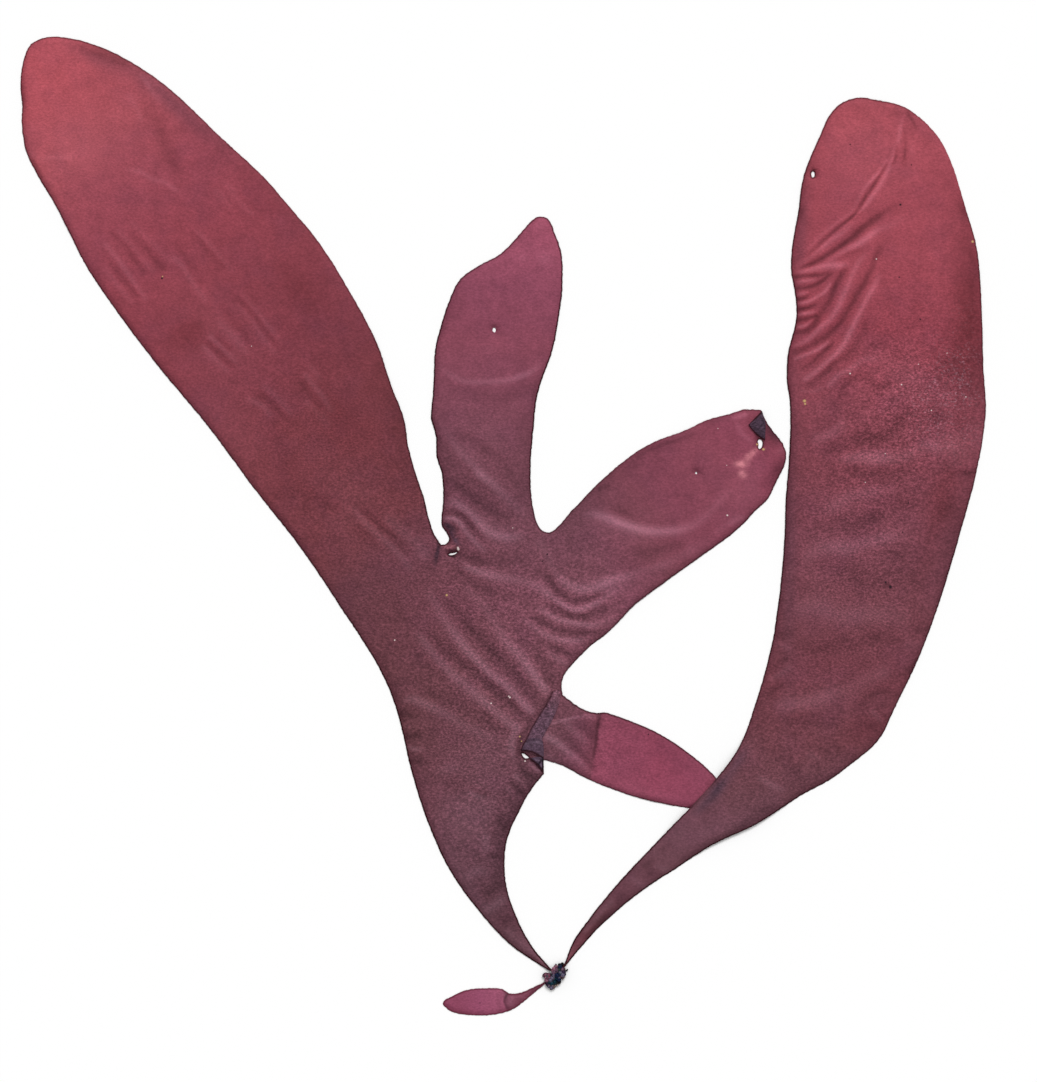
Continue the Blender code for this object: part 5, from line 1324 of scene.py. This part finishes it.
longMaterial = bladeMaterial("long_frond_blade", longLook)
buildFrond("long_frond_blade", longFrond, longMaterial)


# ---- the small young frond ----

smallLook = {
    **bladeLook,
    "main": {"from": (-2, -1), "to": (-19.4, -4), "stops": [
        (0.0, (104, 56, 70)), (0.15, (122, 68, 84)), (0.3, (126, 70, 87)), (0.39, (125, 71, 89)),
        (0.43, (156, 84, 109)), (0.65, (149, 77, 104)), (0.85, (142, 71, 95)), (1.0, (140, 70, 94)),
    ]},
    "parts": [], "wander": 0.01, "unevenness": 0.06, "borderShadeColour": (96, 28, 48),
    "lineColour": (84, 22, 38),
    "cloud": 0.1,
}

smallFrond = {
    "nodes": ["small_frond"],
    "slot": "small_frond",
    "stalkEnd": (-2.2, -1.15), "stalkGrows": [((-1.8, -0.85), 0.35), ((-1.2, -0.5), 0.3)],
    "meshSize": 0.35, "rimSize": 0.13, "creaseSize": 0.2, "thickness": 0.26, "wobble": (0.04, 0.07),
    "lift": 0.15, "wave": 7, "curl": 0.08, "stalkRise": 0.35,
    "pressed": [],
    "folds": [
        {"width": 0.22, "rise": 0.35, "lines": [
            [(-7.8, -2.6, -0.9), (-8.5, -3.2, -1.4), (-8.8, -4, -1.4), (-8.6, -4.8, -1.3),
             (-8.1, -5.6, -0.8)],
        ]},
        {"width": 0.4, "rise": 0.3, "lines": [
            [(-7.4, -3.4, 0.4), (-7.8, -4.2, 0.5), (-7.4, -5, 0.4)],
            [(-9.5, -2.8, -0.3), (-9.8, -4, -0.4), (-9.5, -5.6, -0.3)],
            [(-5, -3, -0.4), (-3.6, -2.2, -0.5)], [(-5.6, -3.6, 0.3), (-4.2, -2.8, 0.3)],
        ]},
    ],
    "patches": {"shade": [((-14, -2.6), 5, 0.5, 0, -0.15)], "grain": [((-4, -2), 3, 2, 0, 0.4)]},
    "specks": [{"name": "dark", "rise": 0.02, "spots": [((-13.0, -4.4), 0.08)]}],
    "holes": [],
}

smallMaterial = bladeMaterial("small_frond_blade", smallLook)
buildFrond("small_frond_blade", smallFrond, smallMaterial)


# ---- the holdfast: a crumpled heap of small dark lumps, with a bud on its side and a spur ----

holdfastLook = {
    "grainSize": 0.05, "roughen": 0.05, "blend": 0.15, "footFrom": 0.3, "footTo": 0.78,
    # each kind: its colour, then the place, height and radius of its lumps in millimetres
    "lumps": {
        "mauve": ((122, 78, 94), [(-0.3, 1.5, 0.6, 0.42), (-0.5, 1.25, 0.55, 0.36),
                                  (-0.05, 1.85, 0.5, 0.34), (0.02, 2.2, 0.35, 0.15)]),
        "dusk": ((88, 64, 82), [(0.1, 1.3, 0.75, 0.36), (-0.35, 0.85, 0.75, 0.38), (1.0, 1.45, 0.6, 0.34)]),
        "navy": ((8, 20, 48), [(0.15, 0.42, 1.0, 0.42), (0.55, 0.55, 0.9, 0.34), (0.5, -0.25, 0.85, 0.36),
                               (0.7, 1.8, 0.6, 0.38)]),
        "green": ((34, 50, 46), [(0.55, 1.35, 0.85, 0.28)]),
        "teal": ((0, 38, 50), [(0.0, -0.1, 0.85, 0.32), (-0.7, -1.0, 0.75, 0.42), (-0.25, -0.75, 0.7, 0.36),
                               (-1.05, -0.85, 0.6, 0.36)]),
        "grey": ((88, 80, 100), [(0.68, 0.95, 0.85, 0.3), (1.08, 0.45, 0.75, 0.38), (-0.4, 0.35, 0.9, 0.32),
                                 (-0.6, 0.0, 0.8, 0.36),
                                 (-0.9, -0.45, 0.7, 0.38), (-0.8, -1.65, 0.45, 0.42),
                                 (-1.2, -1.45, 0.4, 0.42)]),
        "violet": ((34, 20, 42), [(1.32, 0.95, 0.55, 0.4), (1.38, 0.6, 0.45, 0.36),
                                  (-1.45, -1.1, 0.4, 0.42)]),
        "dark": ((14, 12, 18), [(0.0, -0.8, 0.5, 0.4), (0.58, -0.8, 0.4, 0.32), (1.05, 2.2, 0.25, 0.34),
                                (0.6, 2.1, 0.3, 0.3), (-0.78, 0.5, 0.4, 0.34),
                                (1.74, 1.1, 0.25, 0.13), (1.84, 1.19, 0.25, 0.12),
                                (1.94, 1.29, 0.27, 0.13)]),
        "brown": ((84, 62, 62), [(1.35, 1.35, 0.45, 0.3), (-0.45, -1.65, 0.4, 0.34),
                                 (1.12, 0.08, 0.5, 0.38), (-0.8, -1.95, 0.3, 0.26)]),
        "beige": ((190, 168, 156), [(0.25, -1.3, 0.35, 0.22), (-0.12, -1.38, 0.35, 0.22),
                                    (-0.35, -1.45, 0.4, 0.2)]),
        "bud": ((124, 80, 98), [(-1.62, -0.4, 0.5, 0.42), (-1.55, 0.0, 0.5, 0.46),
                                (-1.2, 0.05, 0.5, 0.38)]),
        "budTip": ((96, 58, 72), [(-1.75, 0.44, 0.45, 0.4), (-2.0, 0.3, 0.35, 0.36),
                                  (-1.3, 0.46, 0.45, 0.38)]),
    },
    # small beads on top of the heap: a colour, then places and radii
    "beads": [
        # the lilac bead here and the pink one below are painted glints: pale spots that stand in for
        # highlights
        ((176, 110, 84), [(0.77, 0.26, 0.11)]), ((168, 142, 184), [(0.16, -0.42, 0.14)]),
        ((160, 108, 148), [(-0.43, -0.42, 0.11)]),
        ((216, 166, 160), [(0.4, -1.1, 0.13)]), ((104, 0, 18), [(0.62, -1.08, 0.1)]),
        ((152, 124, 134), [(-0.6, -1.35, 0.13), (-1.12, -1.28, 0.1)]),
        ((64, 72, 76), [(-1.52, 0.26, 0.14)]), ((134, 56, 82), [(-1.12, 0.27, 0.11)]),
        ((118, 114, 142), [(1.43, 0.6, 0.12), (0.45, 0.08, 0.12)]),
        ((170, 150, 168), [(-0.8, 0.76, 0.1)]), ((30, 52, 78), [(0.78, 2.15, 0.11)]),
        ((84, 96, 102), [(0.74, 0.8, 0.12)]),
    ],
}


def settleBeads(look):
    # every lump as a place, a radius and a colour, the beads dropped onto the ones below them
    lumps = []
    for colour, spots in look["lumps"].values():
        lumps += [(Vector(spot[:3]), spot[3], colour) for spot in spots]
    beads = []
    for colour, spots in look["beads"]:
        for x, y, radius in spots:
            top = 0
            for place, size, _ in lumps:
                away = math.hypot(place.x - x, place.y - y)
                if away < size:
                    top = max(top, place.z + math.sqrt(size * size - away * away))
            beads.append((Vector((x, y, top + 0.15 * radius)), radius, colour))
    return lumps + beads


def holdfastMaterial():
    material = bpy.data.materials.new("holdfast_tissue")
    material.use_nodes = True
    tree = material.node_tree
    shader = tree.nodes["Principled BSDF"]
    tint = tree.nodes.new("ShaderNodeAttribute")
    tint.attribute_name = "tint"
    # the lumps' own colours, blotched, with painted lilac glints and painted shade in the folds and at the
    # foot
    blotches = stretch(tree, mottle(tree, 0.28, 2, 0.7), 0.36, 0.64, 0.4, 1.9)
    colour = scalePaint(tree, tint.outputs["Color"], blotches)
    paintedGlints = stretch(tree, mottle(tree, 0.3, 2, 0.6, 0.01), 0.68, 0.73, 0, 0.5)
    colour = mixPaint(tree, paintedGlints, colour, paint((178, 138, 178)))
    colour = scalePaint(tree, colour, field(tree, "shade"))
    tree.links.new(colour, shader.inputs["Base Color"])
    rough = stretch(tree, mottle(tree, 0.3, 2), 0.3, 0.7, 0.4, 0.65)
    tree.links.new(rough, shader.inputs["Roughness"])
    shader.inputs["Specular IOR Level"].default_value = 0.1
    bump = tree.nodes.new("ShaderNodeBump")
    bump.inputs["Strength"].default_value = 0.6
    bump.inputs["Distance"].default_value = 0.05 * mm
    tree.links.new(mottle(tree, 0.2, 3, 0.6), bump.inputs["Height"])
    tree.links.new(bump.outputs[0], shader.inputs["Normal"])
    return material


def makeHoldfast(look):
    lumps = settleBeads(look)
    bm = bmesh.new()
    for place, radius, _ in lumps:
        bmesh.ops.create_icosphere(bm, subdivisions=3, radius=radius, matrix=Matrix.Translation(place))
    mesh = bpy.data.meshes.new("lumps")
    bm.to_mesh(mesh)
    bm.free()
    heap = bpy.data.objects.new("lumps", mesh)
    bpy.context.scene.collection.objects.link(heap)
    skin = heap.modifiers.new("skin", "REMESH")
    skin.mode = "VOXEL"
    skin.voxel_size = look["grainSize"]
    graph = bpy.context.evaluated_depsgraph_get()
    bm = bmesh.new()
    bm.from_mesh(heap.evaluated_get(graph).to_mesh())
    bpy.data.objects.remove(heap)
    bpy.data.meshes.remove(mesh)
    bmesh.ops.smooth_vert(bm, verts=bm.verts, factor=0.5, use_axis_x=True, use_axis_y=True, use_axis_z=True)
    bm.normal_update()
    for vert in bm.verts:
        lump = noise.noise(vert.co * 2.6) * 1.5 + noise.noise(vert.co * 7) * 0.9
        vert.co += vert.normal * lump * look["roughen"]
    everything = bm.verts[:] + bm.edges[:] + bm.faces[:]
    cut = bmesh.ops.bisect_plane(
        bm, geom=everything, dist=0.0001, plane_co=(0, 0, 0), plane_no=(0, 0, 1), clear_inner=True
    )["geom_cut"]
    bmesh.ops.holes_fill(bm, edges=[e for e in cut if isinstance(e, bmesh.types.BMEdge)])
    bmesh.ops.triangulate(bm, faces=[f for f in bm.faces if len(f.verts) > 4])
    bmesh.ops.recalc_face_normals(bm, faces=bm.faces)
    tint = bm.verts.layers.float_color.new("tint")
    shade = bm.verts.layers.float.new("shade")
    for vert in bm.verts:
        gaps = sorted(((vert.co - place).length - radius, paint(colour)) for place, radius, colour in lumps)
        (near, first), (far, second) = gaps[:2]
        share = 0.5 * float(softStep(1 - (far - near) / look["blend"]))
        vert[tint] = [a + share * (b - a) for a, b in zip(first, second)]
        # painted shade: folds between lumps and the foot of the heap are darkest
        crease = float(softStep(0.15 + (far - near) / look["blend"]))
        foot = (vert.co.z - look["footFrom"]) / (look["footTo"] - look["footFrom"])
        vert[shade] = (0.3 + 0.7 * crease) * (0.02 + 0.98 * float(softStep(foot)))
    return finishMesh("holdfast_lumps", bm, holdfastMaterial(), "root", ["holdfast"])


makeHoldfast(holdfastLook)


# ---- floor, light and camera ----

studio = {
    "floorSize": 3.0, "floorBounce": 0.8,
    "skyLevel": 0.56, "sunLevel": 0.44, "sunElevation": 48, "sunAzimuth": 12, "sunSoftness": 26,
    "viewMiddle": (-6.42, 74.66), "viewHeight": 437.5, "lens": 85,
}


def makeFloor():
    bm = bmesh.new()
    bmesh.ops.create_grid(bm, x_segments=1, y_segments=1, size=studio["floorSize"] / 2)
    bmesh.ops.translate(bm, verts=bm.verts, vec=(0, 0, -0.02 * mm))
    mesh = bpy.data.meshes.new("floor")
    bm.to_mesh(mesh)
    bm.free()
    floor = bpy.data.objects.new("floor", mesh)
    bpy.context.scene.collection.objects.link(floor)
    material = bpy.data.materials.new("floor")
    material.use_nodes = True
    tree = material.node_tree
    tree.nodes.remove(tree.nodes["Principled BSDF"])
    matte = tree.nodes.new("ShaderNodeBsdfDiffuse")
    seen = tree.nodes.new("ShaderNodeLightPath").outputs["Is Camera Ray"]
    bounce = studio["floorBounce"]
    white = mixPaint(tree, seen, (bounce, bounce, bounce, 1), (1, 1, 1, 1))
    tree.links.new(white, matte.inputs["Color"])
    tree.links.new(matte.outputs[0], tree.nodes["Material Output"].inputs["Surface"])
    mesh.materials.append(material)


def makeLight():
    world = bpy.data.worlds.new("studio")
    bpy.context.scene.world = world
    world.use_nodes = True
    tree = world.node_tree
    back = tree.nodes["Background"]
    back.inputs["Color"].default_value = (1, 1, 1, 1)
    seen = tree.nodes.new("ShaderNodeLightPath").outputs["Is Camera Ray"]
    tree.links.new(stretch(tree, seen, 0, 1, studio["skyLevel"], 1), back.inputs["Strength"])
    lamp = bpy.data.lights.new("softbox", "SUN")
    lamp.angle = math.radians(studio["sunSoftness"])
    high = math.radians(studio["sunElevation"])
    lamp.energy = studio["sunLevel"] * math.pi / math.sin(high)
    sun = bpy.data.objects.new("softbox", lamp)
    turn = math.radians(studio["sunAzimuth"])
    towards = Vector((math.sin(turn) * math.cos(high), math.cos(turn) * math.cos(high), math.sin(high)))
    sun.rotation_euler = towards.to_track_quat("Z", "Y").to_euler()
    bpy.context.scene.collection.objects.link(sun)


def makeCamera():
    lens = bpy.data.cameras.new("camera")
    lens.lens = studio["lens"]
    lens.sensor_width = 36
    camera = bpy.data.objects.new("camera", lens)
    place = Vector((*studio["viewMiddle"], studio["viewHeight"])) * mm + middle
    camera.location = place
    bpy.context.scene.collection.objects.link(camera)
    bpy.context.scene.camera = camera


makeFloor()
makeLight()
makeCamera()
bpy.context.scene.view_settings.view_transform = "Standard"
print("floor, light and camera placed")
